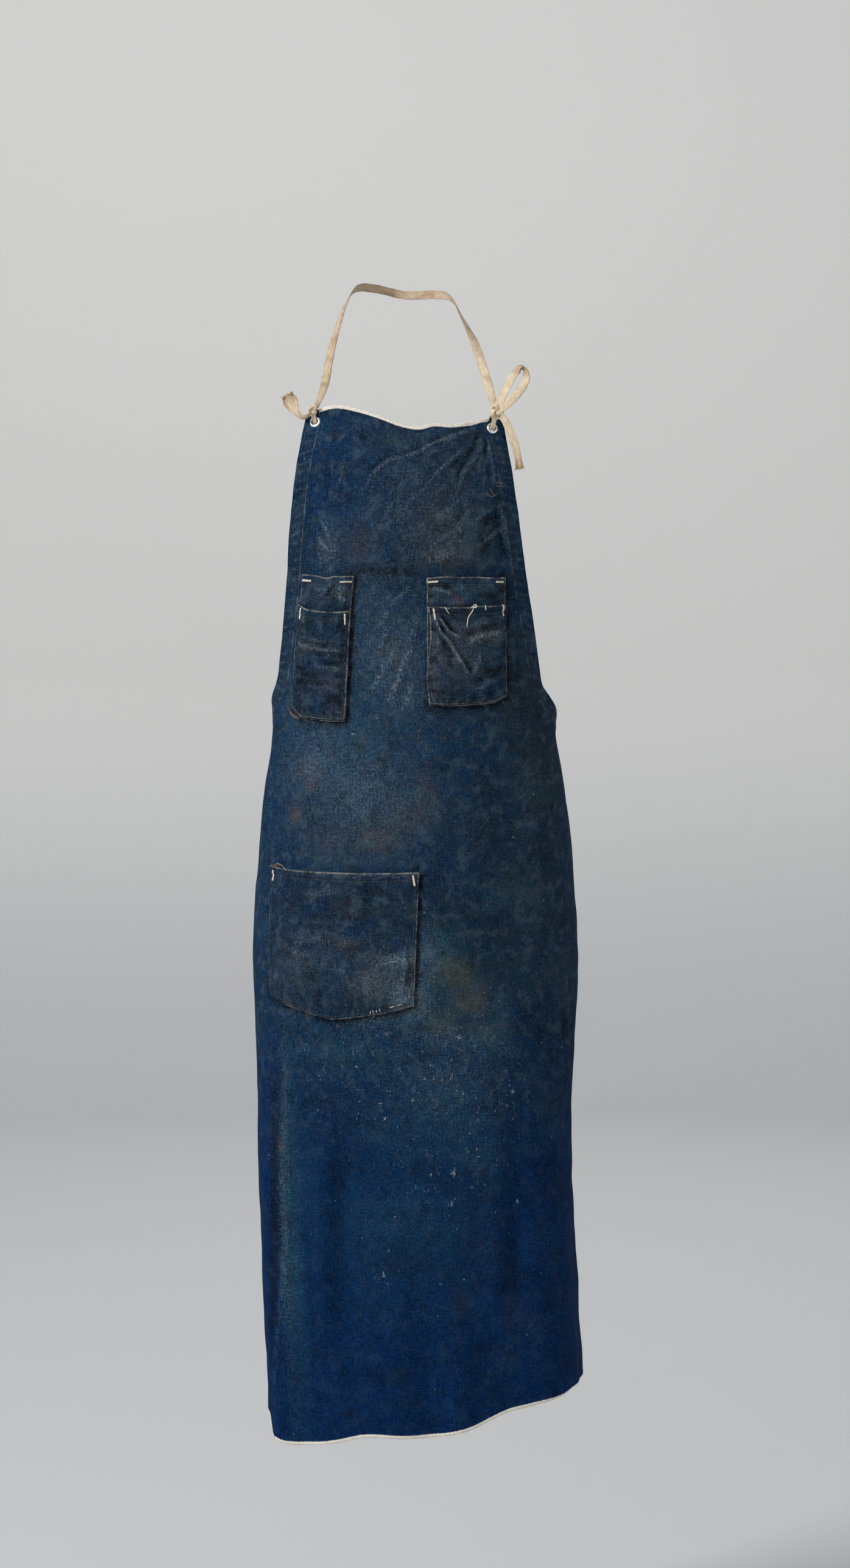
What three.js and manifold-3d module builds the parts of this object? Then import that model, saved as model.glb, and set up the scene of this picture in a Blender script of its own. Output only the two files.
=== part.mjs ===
// Long denim work apron with a bib, three pockets and a cotton tape that goes round the neck.
// Millimetres. +X is right as seen from the front, +Y runs back to the wearer, +Z is up.
// The cloth keeps its worn form. Levels are measured from the waist, and the whole apron is
// then set down so that the origin lies where the neck tape rests on the nape.

import * as THREE from "three";
import { mergeVertices } from "three/addons/utils/BufferGeometryUtils.js";
import Module from "manifold-3d";

const wasm = await Module();
wasm.setup();

// Cloth: one layer, a turned edge, and the gap kept between pieces that lie on each other
const CLOTH = 1.4;
const TURNED_EXTRA = 1.2;
const BIB_HEM = 19;
const SIDE_HEM = 14;
const LAP = 0.35;

// Flat half width of the skirt, and the level where the armholes run out into the skirt
const HALF_WIDTH = 380;
const ARMHOLE_FOOT = 18;
const BIB_TOP = 340;

// Form of the worn cloth, one row for each level: the sides, the lie of the front behind the
// foremost plane, the half depth, and how square each side is (2 is an ellipse)
const FORM = [
  { z: -860, left: -163, right: 216, front: -2, depth: 128, squareLeft: 3.2, squareRight: 2.3 },
  { z: -780, left: -167, right: 212, front: 0, depth: 128, squareLeft: 3.1, squareRight: 2.3 },
  { z: -640, left: -175, right: 204, front: 2, depth: 126, squareLeft: 2.8, squareRight: 2.3 },
  { z: -520, left: -180, right: 199, front: 4, depth: 125, squareLeft: 2.6, squareRight: 2.3 },
  { z: -400, left: -182, right: 200, front: 4, depth: 124, squareLeft: 2.4, squareRight: 2.3 },
  { z: -300, left: -184, right: 204, front: 4, depth: 122, squareLeft: 2.3, squareRight: 2.3 },
  { z: -180, left: -177, right: 200, front: 6, depth: 118, squareLeft: 2.2, squareRight: 2.2 },
  { z: -90, left: -168, right: 190, front: 10, depth: 112, squareLeft: 2.2, squareRight: 2.2 },
  { z: -30, left: -160, right: 180, front: 15, depth: 107, squareLeft: 2.2, squareRight: 2.2 },
  { z: 0, left: -160, right: 181, front: 16, depth: 106, squareLeft: 2.2, squareRight: 2.2 },
  { z: 40, left: -164, right: 180, front: 15, depth: 106, squareLeft: 2.1, squareRight: 2.1 },
  { z: 110, left: -172, right: 182, front: 9, depth: 106, squareLeft: 2.1, squareRight: 2.1 },
  { z: 200, left: -178, right: 184, front: 2, depth: 106, squareLeft: 2.1, squareRight: 2.1 },
  { z: 280, left: -180, right: 184, front: 4, depth: 104, squareLeft: 2.1, squareRight: 2.1 },
  { z: 350, left: -176, right: 180, front: 20, depth: 98, squareLeft: 2.1, squareRight: 2.1 },
];
const FORM_HALF_TURN = 155;

// Side edges of the bib down to the armhole's foot, measured along the cloth from its middle
const BIB_EDGE = [
  { z: 18, left: 200, right: 181 },
  { z: 30, left: 183, right: 168 },
  { z: 50, left: 172, right: 164 },
  { z: 96, left: 160, right: 155 },
  { z: 150, left: 150, right: 145 },
  { z: 210, left: 143, right: 136 },
  { z: 270, left: 135, right: 127 },
  { z: 340, left: 121, right: 114 },
];

// Top edge of the bib, which sags between the eyelets
const TOP_EDGE = [
  { s: -122, z: 338 },
  { s: -104, z: 346 },
  { s: -84, z: 351 },
  { s: -60, z: 348 },
  { s: -34, z: 341 },
  { s: -8, z: 331 },
  { s: 14, z: 327 },
  { s: 32, z: 331 },
  { s: 50, z: 330 },
  { s: 74, z: 333 },
  { s: 92, z: 338 },
  { s: 116, z: 337 },
];

// Top edge of the skirt behind the armholes: it falls from the armhole's foot to WING_TOP
const WING_TOP = -10;
const WING_RUN = 35;

// Foot of the skirt, which hangs lower on the left
const FOOT_EDGE = [
  { s: -380, z: -832 },
  { s: -300, z: -834 },
  { s: -230, z: -840 },
  { s: -185, z: -847 },
  { s: -150, z: -851 },
  { s: -110, z: -846 },
  { s: -70, z: -838 },
  { s: 0, z: -838 },
  { s: 50, z: -829 },
  { s: 95, z: -812 },
  { s: 140, z: -806 },
  { s: 185, z: -800 },
  { s: 225, z: -789 },
  { s: 260, z: -780 },
  { s: 380, z: -772 },
];

// Main folds: a ridge (or a valley, where the rise is negative) from its top to its foot,
// faded over the length "fade" at both ends
const FOLDS = [
  { name: "left corner", sTop: -172, zTop: -380, sFoot: -182, zFoot: -960, width: 24, rise: 9, fade: 170 },
  { name: "left side", sTop: -262, zTop: -250, sFoot: -270, zFoot: -960, width: 34, rise: -7, fade: 190 },
  { name: "right side", sTop: 236, zTop: -180, sFoot: 246, zFoot: -470, width: 22, rise: 3, fade: 90 },
  { name: "right pleat", sTop: 222, zTop: -520, sFoot: 232, zFoot: -960, width: 16, rise: -6, fade: 180 },
  { name: "right corner", sTop: 176, zTop: -480, sFoot: 150, zFoot: -960, width: 34, rise: 7, fade: 200 },
  { name: "left hand fall", sTop: -60, zTop: -420, sFoot: -72, zFoot: -960, width: 46, rise: -5, fade: 220 },
  { name: "middle crease", sTop: 2, zTop: 60, sFoot: -2, zFoot: -420, width: 48, rise: 4, fade: 120 },
  { name: "right hand fall", sTop: 66, zTop: -420, sFoot: 74, zFoot: -960, width: 34, rise: -4, fade: 220 },
  { name: "eyelet drag upper", sTop: 92, zTop: 332, sFoot: -56, zFoot: 262, width: 15, rise: 2.6, fade: 24 },
  { name: "eyelet drag lower", sTop: 100, zTop: 318, sFoot: 18, zFoot: 200, width: 16, rise: -2.4, fade: 30 },
  { name: "hem drag", sTop: 104, zTop: 312, sFoot: 98, zFoot: 170, width: 12, rise: 2.2, fade: 40 },
];

// Pockets: corners on the cloth as distance from the middle and level, the fall of the mouth and
// of the foot in the middle, the cut of the foot's corners, and how far the patch stands off
const PEN_POCKET = {
  topLeft: { s: -128, z: 155 }, topRight: { s: -61, z: 153 },
  footLeft: { s: -151, z: -4 }, footRight: { s: -78, z: -14 },
  mouthFall: 1, footFall: 3, cornerLeft: 7, cornerRight: 0, swell: 2.2, columns: 8, rows: 12,
};
const CHEST_POCKET = {
  topLeft: { s: 22, z: 151 }, topRight: { s: 118, z: 152 },
  footLeft: { s: 19, z: 3 }, footRight: { s: 114, z: 10 },
  mouthFall: 0.5, footFall: 2, cornerLeft: 1, cornerRight: 5, swell: 2.2, columns: 8, rows: 10,
};
const HAND_POCKET = {
  topLeft: { s: -184, z: -184 }, topRight: { s: 4, z: -188 },
  footLeft: { s: -180, z: -336 }, footRight: { s: 0, z: -343 },
  mouthFall: 4, footFall: 18, cornerLeft: 2, cornerRight: 2, swell: 2.4, columns: 14, rows: 11,
};
const FRONT_PATCH_FROM = 0.235;
const FRONT_PATCH_TO = 0.985;
const PATCH_EDGE = 0.16;

// Eyelets: middles on the cloth, and the pressed ring's section
const EYELET_LEFT = { s: -109, z: 335 };
const EYELET_RIGHT = { s: 101, z: 327 };
const EYELET_BORE = 4;
const EYELET_BARREL = 4.5;
const EYELET_FLANGE = 6.6;
const EYELET_CROWN = 1.2;
const EYELET_BACK = [{ across: 0, crown: 0.4 }, { across: 0.35, crown: 0.8 }, { across: 1, crown: 0.25 }];
const EYELET_FACE = [{ across: 1, crown: 0.35 }, { across: 0.5, crown: 1 }, { across: 0, crown: 0.5 }];
const EYELET_SIDES = 18;
const EYELET_CALM = 40;
const EYELET_LAP = 0.5;
const PUNCH_LENGTH = 10;

// Cotton tape: width and thickness, and its bunched width where it goes through an eyelet
const TAPE_WIDTH = 10;
const TAPE_THICK = 1.2;
const BOW_WIDTH = 8;
const LACING_WIDTH = 5;
const LACING_THICK = 1.6;
const KNOT_HALF = [5.4, 4.4, 5.4];
const KNOT_TURN = 4;
const KNOT_TILTS = [35, -40];
const KNOT_SIDES = 10;
const NECK_STEP = 10;
const END_STEP = 5;
const LACING_STEP = 2.4;
const NAPE = { x: 0, y: 171, z: 510 };

// Route of the tape round the neck, from the left knot to the right one. "across" is the
// direction of the tape's width there.
const NECK_ROUTE = [
  { at: [-103, 34, 350], across: [1, 0, 0] },
  { at: [-95, 45, 378], across: [1, -0.1, 0.1] },
  { at: [-88, 61, 420], across: [0.9, -0.3, 0.2] },
  { at: [-80, 81, 457], across: [0.7, -0.5, 0.4] },
  { at: [-70, 103, 490], across: [0.51, -0.63, 0.53] },
  { at: [-59, 128, 510], across: [0.3, -0.5, 0.8] },
  { at: [-36, 157, 515], across: [0.1, -0.1, 1] },
  { at: [NAPE.x, NAPE.y, NAPE.z], across: [0, 0, 1] },
  { at: [34, 157, 508], across: [-0.1, -0.1, 1] },
  { at: [54, 126, 498], across: [-0.3, -0.5, 0.8] },
  { at: [67, 97, 470], across: [-0.51, -0.63, 0.53] },
  { at: [81, 76, 437], across: [-0.7, -0.5, 0.4] },
  { at: [92, 57, 400], across: [-0.9, -0.3, 0.2] },
  { at: [101, 43, 366], across: [-1, -0.1, 0.1] },
  { at: [105, 34, 348], across: [-1, 0, 0] },
];

// Free ends and the bow's loop, from each knot's middle outwards
const LEFT_KNOT = [-107, 31, 349];
const RIGHT_KNOT = [106, 30, 346];
const LEFT_END = [
  { at: [-107, 30, 348], across: [0, -0.5, 1] },
  { at: [-116, 27, 341], across: [0, -0.5, 1] },
  { at: [-125, 27, 344], across: [0.4, -0.5, 1] },
  { at: [-129, 29, 352], across: [1, -0.5, 0.3] },
  { at: [-131, 31, 360], across: [1, -0.3, 0.2] },
  { at: [-135, 30, 366], across: [1, -0.2, 0.5] },
];
const BOW_LOOP = [
  { at: [106, 29, 346], across: [0.5, -0.85, 0.1] },
  { at: [111, 27, 361], across: [0.5, -0.85, 0.1] },
  { at: [121, 24, 382], across: [0.5, -0.85, 0.1] },
  { at: [131, 22, 395], across: [0.5, -0.85, 0.2] },
  { at: [139, 21, 396], across: [0.4, -0.9, 0.2] },
  { at: [143, 21, 387], across: [0.4, -0.9, 0.2] },
  { at: [137, 22, 372], across: [0.4, -0.9, 0.3] },
  { at: [124, 25, 356], across: [0.4, -0.9, 0.3] },
  { at: [106, 29, 345], across: [0.4, -0.9, 0.3] },
];
const RIGHT_END = [
  { at: [106, 28, 345], across: [0.6, -0.7, 0.3] },
  { at: [117, 25, 338], across: [0.7, -0.7, 0.3] },
  { at: [126, 25, 324], across: [0.9, -0.4, 0.3] },
  { at: [132, 27, 306], across: [1, -0.2, 0.1] },
  { at: [134, 29, 290], across: [1, -0.1, 0] },
  { at: [134, 30, 279], across: [1, 0, 0] },
];

// Smooth curve through one column of a table whose rows are in order of the column "by"
function along(rows, by, key, at) {
  const last = rows.length - 1;
  let low = 0;
  while (low < last - 1 && at > rows[low + 1][by]) {
    low += 1;
  }
  const slope = (i) => {
    const before = rows[Math.max(i - 1, 0)];
    const after = rows[Math.min(i + 1, last)];
    return (after[key] - before[key]) / (after[by] - before[by]);
  };
  const span = rows[low + 1][by] - rows[low][by];
  const t = THREE.MathUtils.clamp((at - rows[low][by]) / span, 0, 1);
  return (1 + 2 * t) * (1 - t) ** 2 * rows[low][key]
    + t * (1 - t) ** 2 * span * slope(low)
    + t * t * (3 - 2 * t) * rows[low + 1][key]
    + t * t * (t - 1) * span * slope(low + 1);
}

// Horizontal section of the worn form at a level: points every degree, and the distance of each
// from the middle of the front along the cloth
function formSection(z) {
  const left = along(FORM, "z", "left", z);
  const right = along(FORM, "z", "right", z);
  const front = along(FORM, "z", "front", z);
  const depth = along(FORM, "z", "depth", z);
  const points = [];
  for (let degree = -FORM_HALF_TURN; degree <= FORM_HALF_TURN; degree += 1) {
    const sin = Math.sin(THREE.MathUtils.degToRad(degree));
    const cos = Math.cos(THREE.MathUtils.degToRad(degree));
    const square = along(FORM, "z", degree < 0 ? "squareLeft" : "squareRight", z);
    const side = Math.sign(sin) * Math.abs(sin) ** (2 / square);
    const fall = Math.sign(cos) * Math.abs(cos) ** (2 / square);
    points.push(new THREE.Vector2(
      (left + right) / 2 + side * (right - left) / 2,
      front + depth * (1 - fall),
    ));
  }
  const run = [0];
  for (let i = 1; i < points.length; i += 1) {
    run.push(run[i - 1] + points[i].distanceTo(points[i - 1]));
  }
  const middle = run[FORM_HALF_TURN];
  return { points, run: run.map((length) => length - middle) };
}

// Sum of the folds at a place on the cloth: a bell across each fold, faded at its two ends and
// round the eyelets, where the cloth lies flat
function foldRise(s, z) {
  let rise = 0;
  let calm = 1;
  for (const eyelet of [EYELET_LEFT, EYELET_RIGHT]) {
    const off = Math.hypot(s - eyelet.s, z - eyelet.z);
    calm *= THREE.MathUtils.smoothstep(off, EYELET_CALM / 2, EYELET_CALM);
  }
  for (const fold of FOLDS) {
    const way = new THREE.Vector2(fold.sFoot - fold.sTop, fold.zFoot - fold.zTop);
    const from = new THREE.Vector2(s - fold.sTop, z - fold.zTop);
    const length = way.length();
    const down = from.dot(way) / length;
    const off = from.cross(way) / length;
    const fadeIn = THREE.MathUtils.smoothstep(down, 0, fold.fade);
    const fadeOut = 1 - THREE.MathUtils.smoothstep(down, length - fold.fade, length);
    rise += fold.rise * fadeIn * fadeOut * Math.exp(-((off / fold.width) ** 2));
  }
  return rise * calm;
}

// Place on the cloth's outer face, "lift" millimetres out from it
function onCloth(s, z, lift = 0) {
  const { points, run } = formSection(z);
  let i = 0;
  while (i < run.length - 2 && s > run[i + 1]) {
    i += 1;
  }
  const t = (s - run[i]) / (run[i + 1] - run[i]);
  const at = points[i].clone().lerp(points[i + 1], t);
  const before = points[Math.max(i - 1, 0)];
  const after = points[Math.min(i + 2, points.length - 1)];
  const tangent = after.clone().sub(before).normalize();
  const out = foldRise(s, z) + lift;
  return new THREE.Vector3(at.x + tangent.y * out, at.y - tangent.x * out, z);
}

// Wall between two faces that share one grid. Cells are corner numbers, counted the same way
// round as seen from outside, and the rim closes every edge that only one cell has.
function closedWall(outer, inner, cells) {
  const count = outer.length;
  const triangles = [];
  const edges = new Map();
  for (const [a, b, c, d] of cells) {
    triangles.push([a, b, c], [a, c, d]);
    triangles.push([a + count, c + count, b + count], [a + count, d + count, c + count]);
    for (const [from, to] of [[a, b], [b, c], [c, d], [d, a]]) {
      const back = `${to},${from}`;
      if (edges.has(back)) {
        edges.delete(back);
      } else {
        edges.set(`${from},${to}`, [from, to]);
      }
    }
  }
  for (const [from, to] of edges.values()) {
    triangles.push([to, from, from + count], [to, from + count, to + count]);
  }
  return indexedGeometry([...outer, ...inner].flatMap((point) => point.toArray()), triangles.flat());
}

function indexedGeometry(positions, index) {
  const geometry = new THREE.BufferGeometry();
  geometry.setAttribute("position", new THREE.Float32BufferAttribute(positions, 3));
  geometry.setIndex(index);
  return geometry;
}

function toSolid(geometry) {
  const bare = geometry.clone();
  bare.deleteAttribute("normal");
  bare.deleteAttribute("uv");
  const merged = mergeVertices(bare);
  return new wasm.Manifold(new wasm.Mesh({
    numProp: 3,
    vertProperties: new Float32Array(merged.getAttribute("position").array),
    triVerts: new Uint32Array(merged.getIndex().array),
  }));
}

function toGeometry(solid) {
  const mesh = solid.getMesh();
  return indexedGeometry(Array.from(mesh.vertProperties), Array.from(mesh.triVerts));
}

// Apron cloth

function wingTop(s) {
  const foot = s < 0 ? BIB_EDGE[0].left : BIB_EDGE[0].right;
  const past = Math.max(Math.abs(s) - foot, 0);
  return WING_TOP + (ARMHOLE_FOOT - WING_TOP) * Math.exp(-past / WING_RUN);
}

// Wall thickness: a turned edge runs along the bib's sides, the skirt's wings and its back edges
function clothThickness(turned) {
  return CLOTH + (turned ? TURNED_EXTRA : 0);
}

// The cloth's grid has the shape of a T: the bib's columns fan out between its side edges, and
// the skirt carries them on and adds a wing of columns on each side
function apronPanel() {
  const bibColumns = 9;
  const wingColumns = 6;
  const bibRows = 13;
  const skirtRows = 29;
  const outer = [];
  const inner = [];
  const cells = [];
  const addPoint = (s, z, turned) => {
    outer.push(onCloth(s, z));
    inner.push(onCloth(s, z, -clothThickness(turned)));
    return outer.length - 1;
  };
  const bibPlace = (column, z) => {
    const side = column < 0 ? "left" : "right";
    const edge = along(BIB_EDGE, "z", side, z);
    const steps = Math.abs(column);
    const reach = steps > bibColumns ? edge : (edge - BIB_HEM) * steps / bibColumns;
    return Math.sign(column) * reach;
  };
  const wingPlace = (step, side) => {
    const from = BIB_EDGE[0][side];
    const reach = step > wingColumns ? HALF_WIDTH
      : from + (HALF_WIDTH - SIDE_HEM - from) * step / wingColumns;
    return side === "left" ? -reach : reach;
  };

  const bib = [];
  for (let row = 0; row <= bibRows; row += 1) {
    const share = 1 - row / bibRows;
    const level = ARMHOLE_FOOT + (BIB_TOP - ARMHOLE_FOOT) * share;
    const line = [];
    for (let column = -bibColumns - 1; column <= bibColumns + 1; column += 1) {
      const s = bibPlace(column, level);
      const top = along(TOP_EDGE, "s", "z", bibPlace(column, BIB_TOP));
      const turned = Math.abs(column) >= bibColumns;
      line.push(addPoint(s, ARMHOLE_FOOT + (top - ARMHOLE_FOOT) * share, turned));
    }
    bib.push(line);
  }

  const places = [];
  for (let step = wingColumns + 1; step > 0; step -= 1) {
    places.push({ s: wingPlace(step, "left"), wing: step });
  }
  for (let column = -bibColumns - 1; column <= bibColumns + 1; column += 1) {
    places.push({ s: bibPlace(column, ARMHOLE_FOOT), wing: 0 });
  }
  for (let step = 1; step <= wingColumns + 1; step += 1) {
    places.push({ s: wingPlace(step, "right"), wing: step });
  }
  const skirt = [];
  for (let row = 0; row <= skirtRows; row += 1) {
    const line = places.map(({ s, wing }, i) => {
      if (row === 0 && wing === 0) {
        return bib[bibRows][i - wingColumns - 1];
      }
      const top = wingTop(s);
      const foot = along(FOOT_EDGE, "s", "z", s);
      const z = row === 0 ? top
        : top - BIB_HEM + (foot - top + BIB_HEM) * (row - 1) / (skirtRows - 1);
      const turned = (wing > 0 && row < 2) || wing >= wingColumns;
      return addPoint(s, z, turned);
    });
    skirt.push(line);
  }
  for (const sheet of [bib, skirt]) {
    for (let row = 1; row < sheet.length; row += 1) {
      for (let i = 1; i < sheet[row].length; i += 1) {
        cells.push([sheet[row - 1][i - 1], sheet[row][i - 1], sheet[row][i], sheet[row - 1][i]]);
      }
    }
  }

  let solid = toSolid(closedWall(outer, inner, cells));
  for (const eyelet of [EYELET_LEFT, EYELET_RIGHT]) {
    const radius = EYELET_BARREL + LAP;
    const punch = new THREE.CylinderGeometry(radius, radius, PUNCH_LENGTH, EYELET_SIDES);
    punch.applyMatrix4(eyeletMatrix(eyelet));
    solid = solid.subtract(toSolid(punch));
  }
  return toGeometry(solid);
}

// Pockets

// Place of a patch's point on the cloth: p runs across from 0 to 1, q from the mouth to the foot
function patchPlace(pocket, p, q) {
  const mix = THREE.MathUtils.lerp;
  const { topLeft, topRight, footLeft, footRight } = pocket;
  const bow = 4 * p * (1 - p);
  const corner = pocket.cornerLeft * Math.max(1 - p / PATCH_EDGE, 0)
    + pocket.cornerRight * Math.max(1 - (1 - p) / PATCH_EDGE, 0);
  const mouth = mix(topLeft.z, topRight.z, p) - pocket.mouthFall * bow;
  const foot = mix(footLeft.z, footRight.z, p) - pocket.footFall * bow + corner;
  return {
    s: mix(mix(topLeft.s, topRight.s, p), mix(footLeft.s, footRight.s, p), q),
    z: mix(mouth, foot, q),
  };
}

// Height of a patch's inner face over the cloth: seated along its sewn edges, clear inside them
function patchLift(pocket, p, q) {
  const sides = THREE.MathUtils.smoothstep(Math.min(p, 1 - p), 0, PATCH_EDGE);
  const foot = THREE.MathUtils.smoothstep(1 - q, 0, PATCH_EDGE);
  return LAP + pocket.swell * sides * foot;
}

function patchGeometry(pocket, from, to, layer) {
  const outer = [];
  const inner = [];
  const cells = [];
  const wide = pocket.columns + 1;
  for (let row = 0; row <= pocket.rows; row += 1) {
    for (let column = 0; column <= pocket.columns; column += 1) {
      const p = column / pocket.columns;
      const q = THREE.MathUtils.lerp(from, to, row / pocket.rows);
      const { s, z } = patchPlace(pocket, p, q);
      let lift = patchLift(pocket, p, q);
      for (let under = 0; under < layer; under += 1) {
        lift += CLOTH + patchLift(pocket, p, q);
      }
      inner.push(onCloth(s, z, lift));
      outer.push(onCloth(s, z, lift + CLOTH));
      if (row > 0 && column > 0) {
        const corner = row * wide + column;
        cells.push([corner - wide - 1, corner - 1, corner, corner - wide]);
      }
    }
  }
  return closedWall(outer, inner, cells);
}

// Eyelets

// Turns the ring's axis to the cloth's outward direction, with the middle of the wall as its middle
function eyeletMatrix({ s, z }) {
  const wall = clothThickness(true);
  const step = 1;
  const middle = onCloth(s, z, -wall / 2);
  const across = onCloth(s + step, z).sub(onCloth(s - step, z));
  const up = onCloth(s, z + step).sub(onCloth(s, z - step));
  const out = across.cross(up).normalize();
  const turn = new THREE.Quaternion().setFromUnitVectors(new THREE.Vector3(0, 1, 0), out);
  return new THREE.Matrix4().compose(middle, turn, new THREE.Vector3(1, 1, 1));
}

function eyeletGeometry(eyelet) {
  const seat = clothThickness(true) / 2 + EYELET_LAP;
  const flange = (rows, side) => rows.map(({ across, crown }) => new THREE.Vector2(
    THREE.MathUtils.lerp(EYELET_BORE, EYELET_FLANGE, across),
    side * (seat + crown * EYELET_CROWN),
  ));
  const back = flange(EYELET_BACK, -1);
  const face = flange(EYELET_FACE, 1);
  const barrel = [
    new THREE.Vector2(EYELET_FLANGE, -seat),
    new THREE.Vector2(EYELET_BARREL, -seat),
    new THREE.Vector2(EYELET_BARREL, seat),
    new THREE.Vector2(EYELET_FLANGE, seat),
  ];
  const geometry = new THREE.LatheGeometry([...back, ...barrel, ...face, back[0]], EYELET_SIDES);
  return geometry.applyMatrix4(eyeletMatrix(eyelet));
}

// Neck tape

// Tape carried along a route: a flat four-cornered section turned to each row's "across", with a
// ring of corners about every "step" millimetres
function tapeGeometry(route, step, width, thick, closed = false) {
  const curve = new THREE.CatmullRomCurve3(
    route.map(({ at }) => new THREE.Vector3(...at)), closed, "centripetal",
  );
  const steps = Math.ceil(curve.getLength() / step);
  const positions = [];
  const index = [];
  const rings = closed ? steps : steps + 1;
  for (let ring = 0; ring < rings; ring += 1) {
    const t = ring / steps;
    const middle = curve.getPoint(t);
    const tangent = curve.getTangent(t);
    const place = t * (closed ? route.length : route.length - 1);
    const row = Math.min(Math.floor(place), route.length - 1);
    const next = closed ? (row + 1) % route.length : Math.min(row + 1, route.length - 1);
    const across = new THREE.Vector3(...route[row].across).normalize()
      .lerp(new THREE.Vector3(...route[next].across).normalize(), place - row);
    across.addScaledVector(tangent, -across.dot(tangent)).normalize();
    const out = across.clone().cross(tangent).normalize();
    for (const [side, face] of [[-1, 1], [1, 1], [1, -1], [-1, -1]]) {
      const corner = middle.clone()
        .addScaledVector(across, side * width / 2)
        .addScaledVector(out, face * thick / 2);
      positions.push(...corner.toArray());
    }
  }
  const sides = 4;
  const lengths = closed ? rings : rings - 1;
  for (let ring = 0; ring < lengths; ring += 1) {
    const here = ring * sides;
    const there = ((ring + 1) % rings) * sides;
    for (let i = 0; i < sides; i += 1) {
      const j = (i + 1) % sides;
      index.push(here + i, here + j, there + j, here + i, there + j, there + i);
    }
  }
  if (!closed) {
    const end = (rings - 1) * sides;
    index.push(0, 2, 1, 0, 3, 2, end, end + 1, end + 2, end, end + 2, end + 3);
  }
  return indexedGeometry(positions, index);
}

// Ring of tape through an eyelet and over the bib's top edge, up to the knot
function lacingRoute(eyelet, knot) {
  const wall = clothThickness(true);
  const top = along(TOP_EDGE, "s", "z", eyelet.s);
  const clear = EYELET_LAP + EYELET_CROWN + LACING_THICK;
  const across = onCloth(eyelet.s + 1, eyelet.z).sub(onCloth(eyelet.s - 1, eyelet.z)).toArray();
  const place = (z, lift) => ({ at: onCloth(eyelet.s, z, lift).toArray(), across });
  return [
    { at: knot, across },
    place(eyelet.z + EYELET_FLANGE, clear + LAP),
    place(eyelet.z, EYELET_LAP),
    place(eyelet.z - LAP, -wall - EYELET_LAP - EYELET_CROWN),
    place(eyelet.z + EYELET_BORE, -wall - clear - LACING_THICK),
    place(eyelet.z + EYELET_FLANGE + LACING_THICK, -wall - clear),
    place(top + 2 * LACING_THICK, -wall / 2 - LAP),
  ];
}

// Knot: a round lump with two turns of tape pulled tight over it
function knotSolid(middle) {
  const lump = new THREE.SphereGeometry(1, KNOT_SIDES, KNOT_SIDES);
  lump.scale(...KNOT_HALF);
  lump.translate(...middle);
  let solid = toSolid(lump);
  const upright = new THREE.Vector3(0, 0, 1);
  const sideways = new THREE.Vector3(0, 1, 0);
  for (const tilt of KNOT_TILTS) {
    const turn = [];
    for (let degree = 0; degree < 360; degree += 45) {
      const spot = new THREE.Vector3(KNOT_TURN, 0, 0)
        .applyAxisAngle(upright, THREE.MathUtils.degToRad(degree))
        .applyAxisAngle(sideways, THREE.MathUtils.degToRad(tilt))
        .add(new THREE.Vector3(...middle));
      const across = upright.clone().applyAxisAngle(sideways, THREE.MathUtils.degToRad(tilt));
      turn.push({ at: spot.toArray(), across: across.toArray() });
    }
    solid = solid.add(toSolid(tapeGeometry(turn, LACING_STEP, KNOT_TURN, KNOT_TURN, true)));
  }
  return solid;
}

function neckTape() {
  const pieces = [
    toSolid(tapeGeometry(NECK_ROUTE, NECK_STEP, TAPE_WIDTH, TAPE_THICK)),
    toSolid(tapeGeometry(LEFT_END, END_STEP, TAPE_WIDTH, TAPE_THICK)),
    toSolid(tapeGeometry(BOW_LOOP, END_STEP, BOW_WIDTH, TAPE_THICK)),
    toSolid(tapeGeometry(RIGHT_END, END_STEP, TAPE_WIDTH, TAPE_THICK)),
  ];
  for (const [eyelet, knot] of [[EYELET_LEFT, LEFT_KNOT], [EYELET_RIGHT, RIGHT_KNOT]]) {
    const lacing = lacingRoute(eyelet, knot);
    pieces.push(knotSolid(knot));
    pieces.push(toSolid(tapeGeometry(lacing, LACING_STEP, LACING_WIDTH, LACING_THICK, true)));
  }
  return toGeometry(pieces.reduce((whole, piece) => whole.add(piece)));
}

// Materials
const denim = { color: 0x233850, roughness: 0.92, metalness: 0 };
const pocketDenim = { color: 0x2a3442, roughness: 0.92, metalness: 0 };
const cotton = { color: 0xcdbda0, roughness: 0.9, metalness: 0 };
const pressedMetal = { color: 0xd8d8d2, roughness: 0.35, metalness: 0.9 };

const apron = new THREE.Group();
apron.position.set(-NAPE.x, -(NAPE.y - TAPE_THICK / 2), -NAPE.z);

function addPiece(name, geometry, finish) {
  const mesh = new THREE.Mesh(geometry, new THREE.MeshStandardMaterial(finish));
  mesh.name = name;
  apron.add(mesh);
}

addPiece("apron_panel", apronPanel(), denim);
addPiece("pen_pocket_back", patchGeometry(PEN_POCKET, 0, 1, 0), pocketDenim);
addPiece("pen_pocket_front", patchGeometry(PEN_POCKET, FRONT_PATCH_FROM, FRONT_PATCH_TO, 1), pocketDenim);
addPiece("chest_pocket_back", patchGeometry(CHEST_POCKET, 0, 1, 0), pocketDenim);
addPiece("chest_pocket_front", patchGeometry(CHEST_POCKET, FRONT_PATCH_FROM, FRONT_PATCH_TO, 1), pocketDenim);
addPiece("hand_pocket", patchGeometry(HAND_POCKET, 0, 1, 0), pocketDenim);
addPiece("eyelet_left", eyeletGeometry(EYELET_LEFT), pressedMetal);
addPiece("eyelet_right", eyeletGeometry(EYELET_RIGHT), pressedMetal);
addPiece("neck_tape", neckTape(), cotton);

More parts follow.
